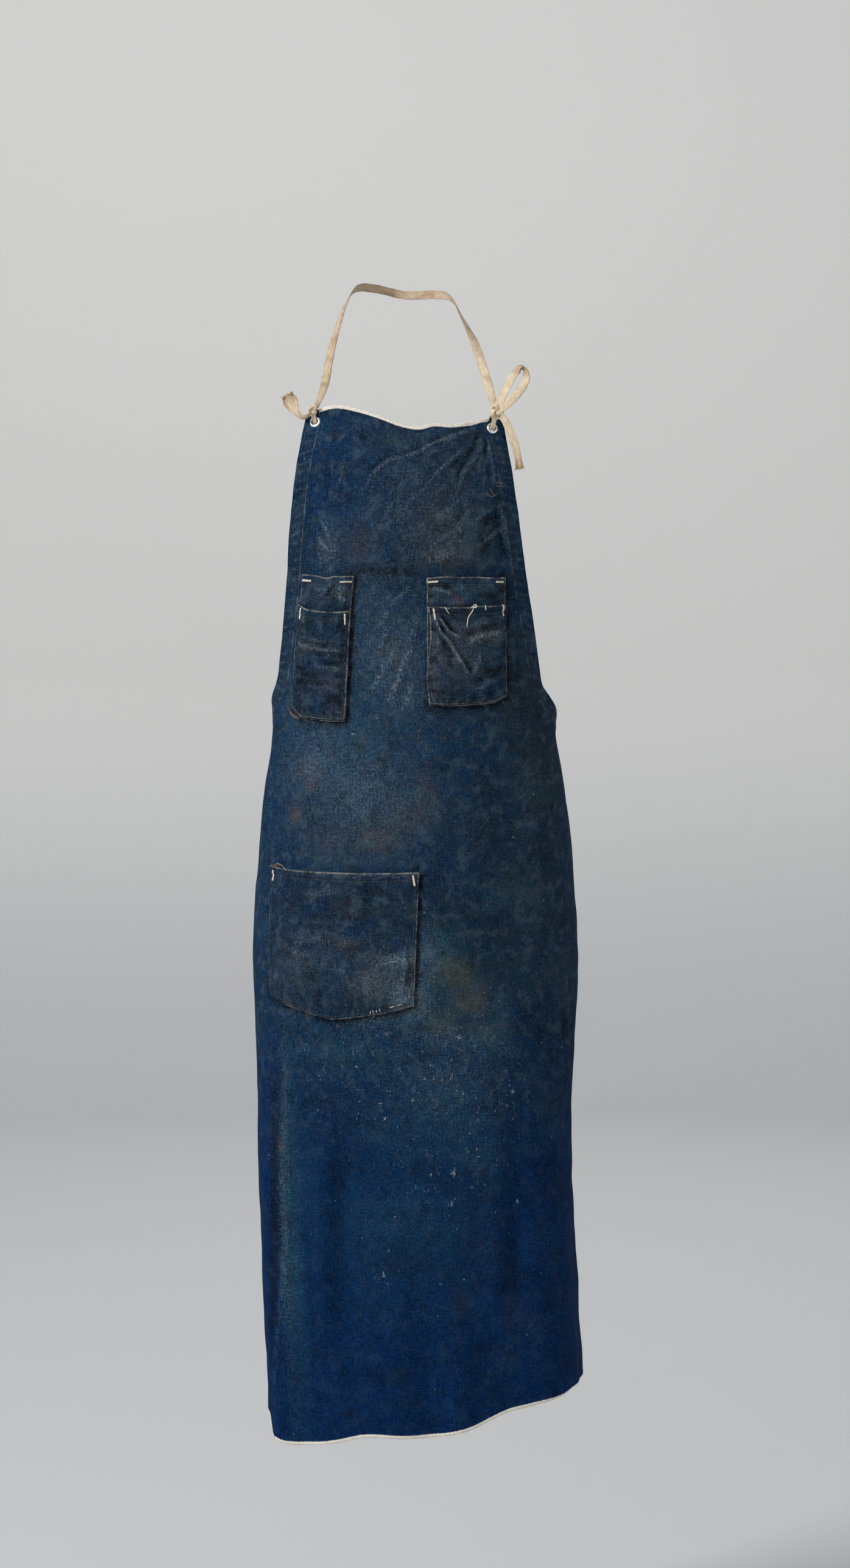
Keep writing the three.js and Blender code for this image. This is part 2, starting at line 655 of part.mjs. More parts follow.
const part = new THREE.Group();
part.add(apron);
export default part;
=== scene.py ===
"""Worn denim bib apron: one wrapped cloth, layered patch pockets, eyelets, a tied cotton tape,
sewing and wear. Garment measures are millimetres, as on a pattern; the meshes are in metres.
On the cloth, s is the distance from the middle along the cloth and z the level over the waist."""

import bpy
import numpy as np
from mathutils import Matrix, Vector


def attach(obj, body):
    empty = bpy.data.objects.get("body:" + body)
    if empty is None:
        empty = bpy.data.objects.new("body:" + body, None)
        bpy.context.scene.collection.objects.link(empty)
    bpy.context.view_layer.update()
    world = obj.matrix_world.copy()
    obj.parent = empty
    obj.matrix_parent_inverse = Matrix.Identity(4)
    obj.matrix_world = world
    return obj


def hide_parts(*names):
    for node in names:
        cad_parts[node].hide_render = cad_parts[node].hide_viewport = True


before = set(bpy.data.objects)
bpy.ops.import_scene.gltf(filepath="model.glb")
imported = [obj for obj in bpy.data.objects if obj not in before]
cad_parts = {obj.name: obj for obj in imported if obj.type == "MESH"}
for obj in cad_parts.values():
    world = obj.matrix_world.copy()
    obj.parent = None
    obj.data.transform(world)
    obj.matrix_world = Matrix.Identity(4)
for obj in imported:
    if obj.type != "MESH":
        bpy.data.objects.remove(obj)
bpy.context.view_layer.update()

MM = 0.001
NAPE = np.array([0.0, 170.4, 510.0])
BODY = "root"

# Form of the worn cloth at each level: z, left, right, front, depth, squareness left and right
FORM = np.array([
    (-860, -163, 216, -2, 128, 3.2, 2.3), (-780, -167, 212, 0, 128, 3.1, 2.3),
    (-640, -175, 204, 2, 126, 2.8, 2.3), (-520, -180, 199, 4, 125, 2.6, 2.3),
    (-400, -182, 200, 4, 124, 2.4, 2.3), (-300, -184, 204, 4, 122, 2.3, 2.3),
    (-180, -177, 200, 6, 118, 2.2, 2.2), (-90, -168, 190, 10, 112, 2.2, 2.2),
    (-30, -160, 180, 15, 107, 2.2, 2.2), (0, -160, 181, 16, 106, 2.2, 2.2),
    (40, -164, 180, 15, 106, 2.1, 2.1), (110, -172, 182, 9, 106, 2.1, 2.1),
    (200, -178, 184, 2, 106, 2.1, 2.1), (280, -180, 184, 4, 104, 2.1, 2.1),
    (350, -176, 180, 20, 98, 2.1, 2.1),
], float)
FORM_HALF_TURN = 165
FORM_REACH = 392
LEVEL_STEP = 4.0
ARC_STEP = 2.0

# Outline of the cloth: bib sides (z, left, right), top edge and foot (s, z)
BIB_EDGE = np.array([
    (18, 200, 181), (30, 183, 168), (50, 172, 164), (96, 160, 155),
    (150, 150, 145), (210, 143, 136), (270, 135, 127), (340, 121, 114),
], float)
TOP_EDGE = np.array([
    (-122, 338), (-104, 349.5), (-84, 354), (-60, 349.5), (-34, 341), (-8, 331),
    (14, 327), (32, 331), (50, 330), (74, 333), (92, 338), (116, 337),
], float)
FOOT_EDGE = np.array([
    (-380, -830), (-300, -828), (-204, -826), (-194, -827), (-190.5, -847), (-182, -850),
    (-172, -852), (-150, -852), (-110, -846), (-70, -838), (0, -838), (50, -829), (95, -812),
    (120, -807), (146, -803), (169, -799), (190, -795), (228, -794), (254, -792), (300, -785),
    (380, -776),
], float)
HALF_WIDTH = 380
ARMHOLE_FOOT = 18
BIB_TOP = 340
WING_TOP = -10
WING_RUN = 35

# Cloth: one layer, the fold that a hem adds, and the level of the stitches behind a hem
LAYER = 1.2
FOLDED = 1.2
HEM_BACK = -LAYER - FOLDED - 0.1

# Hems: widths, stitch line, and the pitch and rise of the roping between the stitches
BIB_HEM = 19
SIDE_HEM = 14
HEM_INSET = 15.0
ROPE_PITCH = 10.5
ROPE_RISE = 0.4

# Width of the bare selvedges, and how far the painted shadow beside a pocket reaches
SELVEDGE_TOP = 3.6
SELVEDGE_FOOT = 3.2
POCKET_SHADOW_REACH = 7.5

# Mesh of the cloth: columns over half the front, a hem, a wing and a back hem, then rows
FRONT_COLUMNS = 50
HEM_COLUMNS = 6
WING_COLUMNS = 20
BACK_COLUMNS = 3
BIB_ROWS = 124
SKIRT_ROWS = 186
EDGE_ROWS = 6
EDGE_RUN = 8.0

# Distance given to a place that isn't beside an edge
FAR = 999

# Main folds: s and z of the top, s and z of the foot, width, rise, fade at both ends
FOLDS = [
    (-172, -380, -182, -960, 24, 9, 170), (-262, -250, -270, -960, 34, -7, 190),
    (236, -180, 246, -470, 22, 3, 90), (222, -520, 232, -960, 16, -3, 180),
    (176, -480, 150, -960, 34, 7, 200), (-60, -420, -72, -960, 46, -5, 220),
    (13, 60, 11, -420, 44, 4, 120), (66, -420, 74, -960, 34, -4, 220),
    (92, 332, -56, 262, 15, 2.0, 24), (100, 318, 18, 200, 16, -1.4, 30),
    (104, 312, 98, 170, 12, 1.4, 40), (-99, -450, -118, -740, 16, 6.5, 100),
    (-76, -470, -96, -780, 15, -5.5, 100), (-138, -420, -148, -960, 18, -6, 130),
    (-30, -540, -40, -960, 24, 4.5, 140), (8, -600, 2, -960, 18, -4.5, 140),
    (40, -640, 40, -960, 22, 4.5, 140), (104, -430, 84, -760, 16, 5, 110),
    (124, -430, 110, -800, 14, -4.5, 120), (150, -60, 156, -360, 20, 3.5, 110),
    (110, -40, 120, -340, 20, -3, 100), (-40, -40, -60, -170, 20, 3, 50),
    (60, -30, 70, -300, 22, 2.5, 100), (-120, -40, -130, -180, 20, 2.5, 50),
]

# Creases of the cloth: route on the cloth, width, rise, and how much the dye is rubbed there
CREASES = [
    ([(89, 330), (54, 316), (29, 306), (18, 298), (2, 292), (-20, 286), (-32, 278),
      (-41, 268), (-49, 254), (-57, 240)], 2.6, 2.4, 0.8),
    ([(94, 316), (62, 297), (34, 272), (12, 242)], 2.2, 1.4, 0.4),
    ([(95, 314), (80, 290), (63, 262), (50, 235)], 2.2, 1.5, 0.45),
    ([(98, 312), (92, 282), (88, 250)], 2.2, 1.4, 0.4),
    ([(92, 318), (94, 300), (92, 276), (86, 256)], 2.4, -1.4, 0.0),
    ([(88, 318), (72, 296), (62, 276), (57, 256)], 2.6, -1.3, 0.0),
    ([(84, 322), (58, 308), (40, 294), (30, 280)], 2.6, -1.3, 0.0),
    ([(122, 216), (98, 200), (72, 180)], 2.6, 1.1, 0.45),
    ([(106, 236), (84, 222), (58, 206)], 2.6, 1.1, 0.45),
    ([(-64, 160), (-20, 157), (24, 155)], 6.0, -1.4, 0.0),
    ([(87, 326), (65, 314), (44, 300), (23, 296)], 5.0, 1.3, 0.25),
    ([(87, 324), (76, 306), (56, 284), (48, 270)], 2.4, -1.4, 0.0),
    ([(90, 320), (83, 300), (71, 280), (56, 260)], 2.6, 1.5, 0.4),
    ([(94, 320), (99, 300), (102, 270), (104, 250)], 2.6, 1.5, 0.45),
    ([(110, 238), (115, 210), (122, 184), (125, 168)], 4.0, 2.2, 0.4),
    ([(98, 228), (92, 200), (84, 174)], 7.0, -2.2, 0.0),
    ([(31, 170), (46, 178), (62, 188)], 4.0, 0.9, 0.5),
    ([(56, 208), (39, 196), (25, 186)], 2.6, 0.9, 0.45),
    ([(76, 252), (50, 232), (30, 216)], 2.8, 1.0, 0.4),
    ([(70, 230), (49, 214), (22, 200)], 5.0, -0.8, 0.0),
    ([(-101, 218), (-95, 208), (-92, 198)], 3.5, 0.8, 0.8),
    ([(-105, 202), (-100, 192), (-92, 184), (-84, 186)], 3.5, 0.8, 0.8),
    ([(-105, 202), (-104, 180), (-104, 164)], 3.5, 0.9, 0.5),
    ([(-77, 268), (-83, 250)], 3.5, 0.6, 0.5),
    ([(-161, -365), (-153, -420), (-153, -504), (-154, -583), (-158, -645), (-165, -693),
      (-175, -758), (-186, -860)], 4.4, 1.6, 0.25),
    ([(-174, -400), (-168, -504), (-170, -598), (-178, -693), (-188, -764)], 6.0, -1.0, 0.0),
    ([(196, -290), (203, -346), (208, -383), (216, -427), (224, -480)], 3.4, 1.7, 0.2),
    ([(206, -300), (219, -369), (227, -418), (234, -460)], 4.2, -1.9, 0.0),
    ([(4, 76), (1, 70), (-10, 52), (-15, 38), (-24, 17), (-36, 2)], 2.8, 1.2, 1.5),
    ([(-17, 138), (-26, 127), (-36, 117)], 2.2, 0.8, 0.75),
    ([(10, 104), (2, 88), (-3, 72)], 2.8, 0.8, 0.6),
    ([(-44, 112), (-52, 100)], 2.4, 0.6, 0.4),
    ([(1, 33), (-1, 27), (-7, 13), (-14, 2), (-18, -4)], 2.8, 1.0, 1.3),
    ([(-23, 114), (-26, 110), (-34, 99), (-40, 92)], 2.8, 0.7, 1.0),
    ([(4, 144), (-1, 139), (-17, 124), (-26, 116)], 2.8, 0.8, 0.9),
    ([(-26, 92), (-34, 74), (-44, 62)], 2.8, 0.9, 0.6),
    ([(16, 128), (4, 112), (-8, 102)], 2.8, -0.9, 0.0),
    ([(16, 92), (6, 72), (-4, 54)], 2.8, -0.9, 0.0),
    ([(-8, 84), (-20, 66), (-28, 46)], 2.8, 0.9, 0.7),
    ([(-30, 58), (-32, 52), (-36, 40), (-45, 27), (-50, 20)], 2.8, 1.0, 1.2),
    ([(-18, 236), (-30, 214), (-38, 196)], 2.4, 0.8, 0.4),
    ([(12, 250), (-6, 226), (-16, 204)], 2.4, 0.8, 0.35),
    ([(-72, 300), (-74, 272), (-70, 244)], 2.4, 0.8, 0.3),
    ([(-88, 296), (-86, 262), (-90, 236)], 2.4, 0.7, 0.25),
    ([(86, 240), (62, 214), (40, 170)], 2.4, 0.9, 0.35),
    ([(116, 300), (112, 270), (110, 240)], 2.2, 0.9, 0.3),
]

# Pockets: corners on the cloth (s, z), fall of the mouth and foot, cut corners, stand-off, puckers
PEN_POCKET = dict(
    top_left=(-125.5, 155), top_right=(-64, 153), foot_left=(-150.5, -4), foot_right=(-81.5, -13),
    mouth_fall=1, foot_fall=3, pointed=0, corner_left=7, corner_right=0, swell=3.0, pucker=0.8)
CHEST_POCKET = dict(
    top_left=(22, 151), top_right=(114, 152), foot_left=(18, 4), foot_right=(110, 11),
    mouth_fall=0.5, foot_fall=2, pointed=0, corner_left=1, corner_right=5, swell=3.0, pucker=1.0)
HAND_POCKET = dict(
    top_left=(-184, -184), top_right=(4, -188), foot_left=(-180, -334), foot_right=(0, -343),
    mouth_fall=4, foot_fall=20, pointed=0.75, corner_left=2, corner_right=2, swell=3.0, pucker=0.5)

# Shares across and down a pocket: deepest point of the foot, front patch, sewn edge
FOOT_POINT = 0.47
FRONT_FROM = 0.235
FRONT_TO = 0.985
PATCH_EDGE = 0.16

# Patches: thickness, gap to what carries them, reach of a wavy lip, and stitch line
PATCH_LAYER = 1.4
LAP = 0.45
LIP_RUN = 12.0
SEAM_INSET = 3.0

# Mesh of the patches, and the thinnest rubbed line that each grid can show
PATCH_CELL = 1.35
CROWD_EDGES = 0.5
PATCH_LINE = 0.8
CLOTH_LINE = 1.25

# Creases of each patch as shares across and down it: route, width, rise, rub
PEN_FRONT_CREASES = [
    ([(0.04, 0.48), (0.3, 0.49), (0.6, 0.505), (0.96, 0.51)], 2.0, 1.3, 0.6),
    ([(0.05, 0.535), (0.5, 0.545), (0.97, 0.55)], 2.6, -1.1, 0.0),
    ([(0.1, 0.425), (0.35, 0.44), (0.56, 0.45)], 1.9, 0.7, 0.25),
    ([(0.5, 0.625), (0.8, 0.63), (0.98, 0.645)], 1.9, 0.9, 0.35),
    ([(0.6, 0.59), (0.8, 0.6), (0.98, 0.6)], 2.8, -0.8, 0.0),
    ([(0.02, 0.65), (0.2, 0.655), (0.38, 0.65)], 2.8, -0.8, 0.0),
    ([(0.06, 0.57), (0.24, 0.585), (0.44, 0.58)], 1.9, 0.6, 0.2),
    ([(0.3, 0.76), (0.55, 0.775), (0.9, 0.765)], 2.4, 0.6, 0.25),
    ([(0.1, 0.82), (0.35, 0.84), (0.6, 0.83)], 2.4, 0.5, 0.2),
    ([(0.1, 0.71), (0.45, 0.72), (0.8, 0.71)], 2.6, 0.6, 0.15),
    ([(0.68, 0.84), (0.85, 0.835), (0.99, 0.825)], 3.5, -0.9, 0.0),
    ([(0.2, 0.24), (0.17, 0.37)], 3.0, 0.8, 0.3),
    ([(0.5, 0.25), (0.54, 0.42)], 3.0, 0.7, 0.2),
    ([(0.8, 0.26), (0.77, 0.4)], 3.0, 0.6, 0.2),
]
PEN_BACK_CREASES = [
    ([(0.62, 0.04), (0.54, 0.08), (0.45, 0.13)], 2.8, 0.9, 0.6),
    ([(0.74, 0.13), (0.85, 0.155), (0.93, 0.18)], 3.5, 1.0, 0.7),
    ([(0.08, 0.1), (0.3, 0.115), (0.5, 0.11)], 4.0, -0.7, 0.0),
]
CHEST_FRONT_CREASES = [
    ([(0.08, 0.29), (0.15, 0.34), (0.24, 0.42), (0.36, 0.46), (0.45, 0.5)], 1.9, 1.5, 1.4),
    ([(0.05, 0.31), (0.1, 0.39), (0.16, 0.45), (0.25, 0.5), (0.32, 0.58), (0.42, 0.68),
      (0.56, 0.83)], 2.0, 1.8, 1.6),
    ([(0.46, 0.52), (0.55, 0.49), (0.7, 0.46), (0.99, 0.443)], 4.4, 1.6, 0.7),
    ([(0.62, 0.41), (0.8, 0.4), (0.97, 0.395)], 4.0, -1.3, 0.0),
    ([(0.1, 0.4), (0.18, 0.5), (0.27, 0.58), (0.36, 0.68)], 3.4, -1.4, 0.0),
    ([(0.55, 0.78), (0.6, 0.68), (0.67, 0.57)], 3.6, 0.7, 0.35),
    ([(0.16, 0.52), (0.24, 0.62), (0.33, 0.74)], 5.0, -1.0, 0.0),
    ([(0.08, 0.62), (0.3, 0.64), (0.5, 0.63)], 4.0, 0.5, 0.2),
    ([(0.6, 0.9), (0.75, 0.84), (0.95, 0.8)], 5.0, 0.6, 0.2),
]
CHEST_BACK_CREASES = [
    ([(0.05, 0.07), (0.19, 0.11), (0.35, 0.13)], 3.2, 1.0, 0.6),
    ([(0.38, 0.04), (0.43, 0.07), (0.47, 0.12)], 3.0, 0.8, 0.45),
    ([(0.6, 0.13), (0.8, 0.135), (0.95, 0.13)], 4.0, -0.8, 0.0),
]
HAND_CREASES = [
    ([(0.55, 0.2), (0.82, 0.12), (0.95, 0.08)], 8.0, -0.7, 0.0),
    ([(0.27, 0.165), (0.53, 0.1)], 8.0, 0.6, 0.1),
    ([(0.655, 0.68), (0.665, 0.8), (0.67, 0.97)], 5.0, -0.9, 0.0),
    ([(0.4, 0.8), (0.41, 0.9), (0.42, 1.0)], 5.0, -0.8, 0.0),
    ([(0.55, 0.14), (0.75, 0.17), (0.9, 0.24)], 3.2, 0.6, 0.2),
    ([(0.3, 0.36), (0.5, 0.33), (0.66, 0.36)], 3.2, 0.6, 0.2),
    ([(0.12, 0.56), (0.26, 0.6), (0.42, 0.57)], 3.4, 0.7, 0.25),
    ([(0.48, 0.62), (0.58, 0.7), (0.6, 0.82)], 3.2, 0.6, 0.25),
    ([(0.72, 0.42), (0.84, 0.46), (0.96, 0.45)], 3.2, -0.6, 0.0),
    ([(0.93, 0.52), (0.94, 0.7), (0.93, 0.88)], 5.0, 0.9, 0.5),
    ([(0.72, 0.665), (0.84, 0.64), (0.96, 0.62)], 4.5, 0.7, 0.6),
    ([(0.2, 0.5), (0.5, 0.46), (0.7, 0.5)], 10.0, 0.6, 0.1),
]

# The chest pocket's front patch is drawn in along its left side: share down, shift to the right
CHEST_DRAWN = np.array([
    (0.0, 0), (0.2, 0.2), (0.31, 3.2), (0.36, 4.0), (0.47, 3.8), (0.56, 2.2), (0.66, 0.4),
    (0.78, -1.2), (0.88, -1.0), (1.0, 0.4),
], float)

# Eyelets: places on the cloth, the hole, the wall it goes through, and the calm cloth round it
EYELETS = {"eyelet_left": (-109, 335), "eyelet_right": (101, 327)}
EYELET_HOLE = 4.6
EYELET_WALL = 2.6
EYELET_CALM = 40

# Rings of grid points inside a hole, and out to where they keep their place
HOLE_SHELL = 2
HOLE_BLEND = 6

# Dyes and finishes as seen in even daylight, red, green and blue from 0 to 255
INDIGO = (15, 38, 64)
DEEP_INDIGO = (3, 31, 69)
FADED = (50, 73, 92)
WASHED = (38, 72, 88)
GREYED_AND_SHADE = (35, 44, 48)
EARTH = (80, 68, 61)
OCHRE = (74, 74, 54)
OIL = (22, 30, 36)
# Colour of painted shade in crease troughs and of the painted shadow beside pockets
PAINTED_SHADE = (9, 14, 21)
RUST = (122, 78, 52)
POCKET_INDIGO = (21, 38, 59)
RUBBED = (118, 130, 138)
UNDYED = (222, 217, 208)
SELVEDGE_WEFT = (190, 184, 174)
REVERSE = (62, 78, 98)
REVERSE_WEFT = (136, 146, 154)
PLUM = (46, 48, 50)
HAZE = (56, 72, 84)
FLECK = (84, 98, 110)
SCRATCHED = (84, 102, 118)
SPECK = (130, 148, 160)
FRAYED = (136, 134, 126)
FOLD_LINE = (78, 96, 114)
TAPE_PALE = (218, 203, 178)
TAPE_DEEP = (180, 161, 134)
TAPE_RIB = (156, 136, 112)
# Colour towards which the tape's soil and painted shade darken it
TAPE_SOIL_AND_SHADE = (146, 118, 92)
METAL_BRIGHT = (236, 236, 232)
METAL_DULL = (178, 176, 168)

# Levels between which the dye turns deep
DEEP_LEVELS = (-560, -300)

# Soft spots of colour on the cloth: s, z, half width, half height, strength
FADES = [
    (-96, 194, 15, 30, 0.35), (-25, 60, 46, 70, 0.38), (-14, 12, 40, 50, 0.3),
    (-38, 100, 30, 40, 0.3), (-56, -38, 60, 40, 0.4), (-117, -60, 44, 50, 0.32),
    (-60, -110, 70, 50, 0.35), (-150, -30, 26, 60, 0.28), (14, -290, 24, 40, 0.5),
    (132, 230, 12, 110, 0.15), (0, -330, 20, 24, 0.5), (-5, -288, 10, 16, 0.5),
    (-120, 40, 22, 40, 0.25),
]
WASHES = [
    (20, -350, 34, 34, 0.55), (70, -384, 50, 22, 0.35), (29, -274, 24, 26, 0.4),
    (-60, -390, 60, 40, 0.25), (-150, -600, 13, 170, 0.58), (-130, -554, 26, 70, 0.14),
    (-10, -600, 90, 80, 0.25), (40, -480, 90, 90, 0.3), (-90, 40, 30, 60, 0.2),
]
BLUES = [
    (-96, 240, 36, 60, 0.4), (-142, 230, 18, 60, 0.5), (-70, 300, 50, 30, 0.3),
    (-20, 60, 60, 50, 0.2),
]
# Greyed spots: partly greyed wear, partly painted shade down the right side, where the cloth turns
# away from the light
GREY_AND_SHADE_SPOTS = [
    (134, 12, 50, 60, 0.85), (160, -60, 50, 90, 0.8), (150, -180, 60, 130, 0.6),
    (84, -130, 50, 70, 0.4), (60, 200, 50, 60, 0.55), (20, 190, 40, 40, 0.45),
    (-13, 312, 46, 18, 0.4), (70, 284, 40, 40, 0.35), (120, -280, 60, 70, 0.45),
    (60, 20, 60, 40, 0.4), (190, -300, 40, 160, 0.4),
]
EARTHS = [
    (-42, -150, 26, 18, 0.42), (-12, -128, 24, 18, 0.3), (-101, -150, 34, 20, 0.22),
    (-145, -122, 11, 12, 0.6), (-124, -88, 9, 8, 0.45), (6, -123, 12, 12, 0.35),
    (-130, -70, 16, 14, 0.3), (-60, 190, 22, 22, 0.3), (46, 178, 30, 12, 0.35),
    (13, -100, 14, 30, 0.25), (-20, 66, 12, 10, 0.35), (40, 216, 30, 24, 0.2),
]
OCHRES = [
    (50, -308, 34, 34, 0.62), (62, -336, 34, 26, 0.6), (34, -358, 32, 26, 0.58),
    (115, -694, 30, 30, 0.3), (138, -710, 22, 26, 0.3), (96, -752, 30, 26, 0.28),
    (159, -678, 18, 30, 0.25), (80, -372, 24, 18, 0.3),
]
# Oil stains; the long spot at s -20, z 157 is painted shade along the crease between the bib pockets'
# mouths
OILS_AND_SHADE = [
    (29, -224, 22, 32, 0.55), (56, -240, 30, 30, 0.4), (13, -94, 14, 20, 0.25),
    (96, -448, 11, 36, 0.5), (80, -560, 18, 60, 0.35), (66, -622, 14, 50, 0.3),
    (46, -690, 12, 30, 0.4), (40, 250, 40, 30, 0.25), (-100, -470, 60, 60, 0.2),
    (-20, 157, 52, 12, 0.35), (-142, 230, 22, 130, 0.4), (-168, 80, 20, 80, 0.35),
]
RUSTS = [(-160, -508, 2.5, 5, 0.4), (-145, -122, 6, 6, 0.05), (-124, -90, 4, 3, 0.1)]
SPECKLED = [
    (70, -380, 60, 36, 0.95), (30, -430, 70, 50, 0.7), (-40, -370, 60, 40, 0.5),
    (110, -440, 50, 50, 0.5), (40, -520, 60, 56, 0.45), (-60, -450, 60, 50, 0.35),
    (30, -560, 40, 34, 0.5), (-40, -652, 12, 12, 0.3), (20, -680, 60, 60, 0.03),
    (-40, 30, 80, 70, 0.12), (-10, -338, 20, 26, 0.6), (-60, -300, 50, 40, 0.25),
    (-100, -420, 50, 40, 0.3),
]
SCUFFS = [
    (-92, 185, 12, 26, 0.4), (30, 176, 24, 8, 0.4), (50, -380, 50, 16, 0.25),
    (14, -300, 14, 40, 0.3), (0, -338, 22, 20, 0.5), (-40, -352, 30, 16, 0.3),
    (40, -430, 60, 50, 0.15), (-60, -100, 60, 50, 0.3), (-20, 60, 44, 60, 0.3),
    (-117, -60, 40, 50, 0.25), (-158, -570, 5, 170, 0.3), (20, 250, 60, 60, 0.2),
    (-60, 130, 60, 60, 0.15),
]
POCKET_SCUFFS = [
    (-12, -330, 16, 14, 0.9), (-10, -290, 16, 9, 0.8), (-34, -286, 26, 5, 0.6),
    (-20, -310, 14, 24, 0.4), (-92, 138, 20, 12, 0.3), (-78, 136, 8, 10, 0.6),
    (-100, 78, 26, 4, 0.2), (-90, 50, 22, 4, 0.15), (84, 94, 26, 7, 0.4), (66, 62, 30, 30, 0.2),
    (-60, -190, 70, 5, 0.4), (-45, -318, 24, 16, 0.35), (-120, -290, 40, 30, 0.1),
]
POCKET_EARTHS = [
    (-118, 72, 30, 8, 0.3), (-90, 30, 26, 10, 0.25), (-85, 0, 20, 16, 0.2),
    (78, 86, 30, 10, 0.5), (40, 70, 26, 34, 0.45), (28, 140, 16, 10, 0.35),
    (55, 124, 6, 9, 0.4), (-75, -272, 12, 7, 0.55), (-80, -230, 12, 10, 0.3),
    (-45, -312, 22, 26, 0.38), (24, 40, 10, 40, 0.35), (-140, -300, 24, 30, 0.15),
]
POCKET_RUSTS = [(-142, -10, 5, 3, 0.3), (-151, 1, 3, 4, 0.25), (56, 127, 4, 5, 0.25)]
POCKET_FADES = [
    (-92, 138, 30, 20, 0.3), (-80, 140, 10, 10, 0.5), (-11, -334, 20, 18, 0.75),
    (-8, -290, 18, 18, 0.6), (-30, -300, 40, 30, 0.3), (-100, -300, 60, 30, 0.12),
    (66, 62, 40, 40, 0.2), (60, 138, 56, 18, 0.6), (70, 60, 50, 60, 0.2),
]
POCKET_OILS = [(-60, -218, 60, 14, 0.3), (-44, -230, 30, 20, 0.25), (-100, -250, 40, 20, 0.2),
               (-110, 128, 20, 8, 0.3), (90, 128, 26, 8, 0.15), (-147, -5, 6, 6, 0.9)]


# Curves, tables and fields

def to_frame(points):
    """Garment millimetres to the frame's metres: less the nape's place, times a thousandth."""
    return (points - NAPE) * MM


def smooth_step(low, high, value):
    """Share of the way from low to high, eased at both ends: 3t squared less 2t cubed."""
    share = np.clip((value - low) / (high - low), 0, 1)
    return share * share * (3 - 2 * share)


def unit(vectors):
    """Vectors cut or drawn to length one."""
    return vectors / np.maximum(np.linalg.norm(vectors, axis=-1, keepdims=True), 1e-12)


def full_turn(count):
    """Even angles round a whole turn."""
    return 2 * np.pi * np.arange(count) / count


def run_along(points):
    """Distance covered at each point of a line."""
    return np.concatenate([[0], np.cumsum(np.linalg.norm(np.diff(points, axis=0), axis=1))])


def curve_through(table, at, column=1):
    """Smooth curve through one column of a table over its first: a cubic between rows, sloped as
    their neighbours run."""
    stations, values = table[:, 0], table[:, column]
    rows = np.arange(len(stations))
    before = np.maximum(rows - 1, 0)
    after = np.minimum(rows + 1, len(rows) - 1)
    slopes = (values[after] - values[before]) / (stations[after] - stations[before])
    low = np.clip(np.searchsorted(stations, at) - 1, 0, len(rows) - 2)
    span = stations[low + 1] - stations[low]
    t = np.clip((at - stations[low]) / span, 0, 1)
    return ((1 + 2 * t) * (1 - t) ** 2 * values[low] + t * (1 - t) ** 2 * span * slopes[low]
            + t * t * (3 - 2 * t) * values[low + 1]
            + t * t * (t - 1) * span * slopes[low + 1])


def worn_form():
    """Table of the worn form by level and distance along the cloth: at each level a squared
    ellipse with its own left and right, measured off evenly from the middle of the front.
    Gives the place across and back, and the outward direction."""
    levels = np.arange(FORM[0, 0], FORM[-1, 0] + LEVEL_STEP, LEVEL_STEP)
    turn = np.radians(np.linspace(-FORM_HALF_TURN, FORM_HALF_TURN, 8 * FORM_HALF_TURN + 1))
    left, right, front, depth, square_left, square_right = (
        curve_through(FORM, levels, column)[:, None] for column in range(1, 7))
    power = 2 / np.where(turn < 0, square_left, square_right)
    side = np.sign(np.sin(turn)) * np.abs(np.sin(turn)) ** power
    fall = np.sign(np.cos(turn)) * np.abs(np.cos(turn)) ** power
    x = (left + right) / 2 + side * (right - left) / 2
    y = front + depth * (1 - fall)
    steps = np.hypot(np.diff(x, axis=1, prepend=x[:, :1]), np.diff(y, axis=1, prepend=y[:, :1]))
    run = np.cumsum(steps, axis=1)
    run -= run[:, [run.shape[1] // 2]]
    arcs = np.arange(-FORM_REACH, FORM_REACH + ARC_STEP, ARC_STEP)
    x = np.array([np.interp(arcs, lengths, places) for lengths, places in zip(run, x)])
    y = np.array([np.interp(arcs, lengths, places) for lengths, places in zip(run, y)])
    along_x, along_y = np.gradient(x, axis=1), np.gradient(y, axis=1)
    length = np.hypot(along_x, along_y)
    return np.stack([x, y, along_y / length, -along_x / length])


FORM_TABLE = worn_form()


def form_at(s, z):
    """The form's table read between its rows and columns, in proportion."""
    row = np.clip((z - FORM[0, 0]) / LEVEL_STEP, 0, FORM_TABLE.shape[1] - 1.001)
    column = np.clip((s + FORM_REACH) / ARC_STEP, 0, FORM_TABLE.shape[2] - 1.001)
    i, j = row.astype(int), column.astype(int)
    u, v = row - i, column - j
    return (FORM_TABLE[:, i, j] * (1 - u) * (1 - v) + FORM_TABLE[:, i + 1, j] * u * (1 - v)
            + FORM_TABLE[:, i, j + 1] * (1 - u) * v + FORM_TABLE[:, i + 1, j + 1] * u * v)


def off_route(a, b, route):
    """Signed distance of places (a, b) from a route of straight runs, and the share of the
    route that lies before the nearest point."""
    knots = np.array(route, float)
    ways = np.diff(knots, axis=0)
    lengths = np.hypot(ways[:, 0], ways[:, 1])
    passed = np.concatenate([[0], np.cumsum(lengths)[:-1]])
    shape = (len(ways),) + (1,) * np.ndim(a)
    way_a, way_b = ways[:, 0].reshape(shape), ways[:, 1].reshape(shape)
    from_a, from_b = a - knots[:-1, 0].reshape(shape), b - knots[:-1, 1].reshape(shape)
    size = lengths.reshape(shape)
    down = np.clip((from_a * way_a + from_b * way_b) / size ** 2, 0, 1)
    gap = np.hypot(from_a - down * way_a, from_b - down * way_b)
    side = np.sign(from_a * way_b - from_b * way_a)
    near = gap.argmin(axis=0)[None]
    done = np.take_along_axis((passed.reshape(shape) + down * size), near, 0)[0]
    signed = np.take_along_axis(gap * side, near, 0)[0]
    return signed, done / lengths.sum()


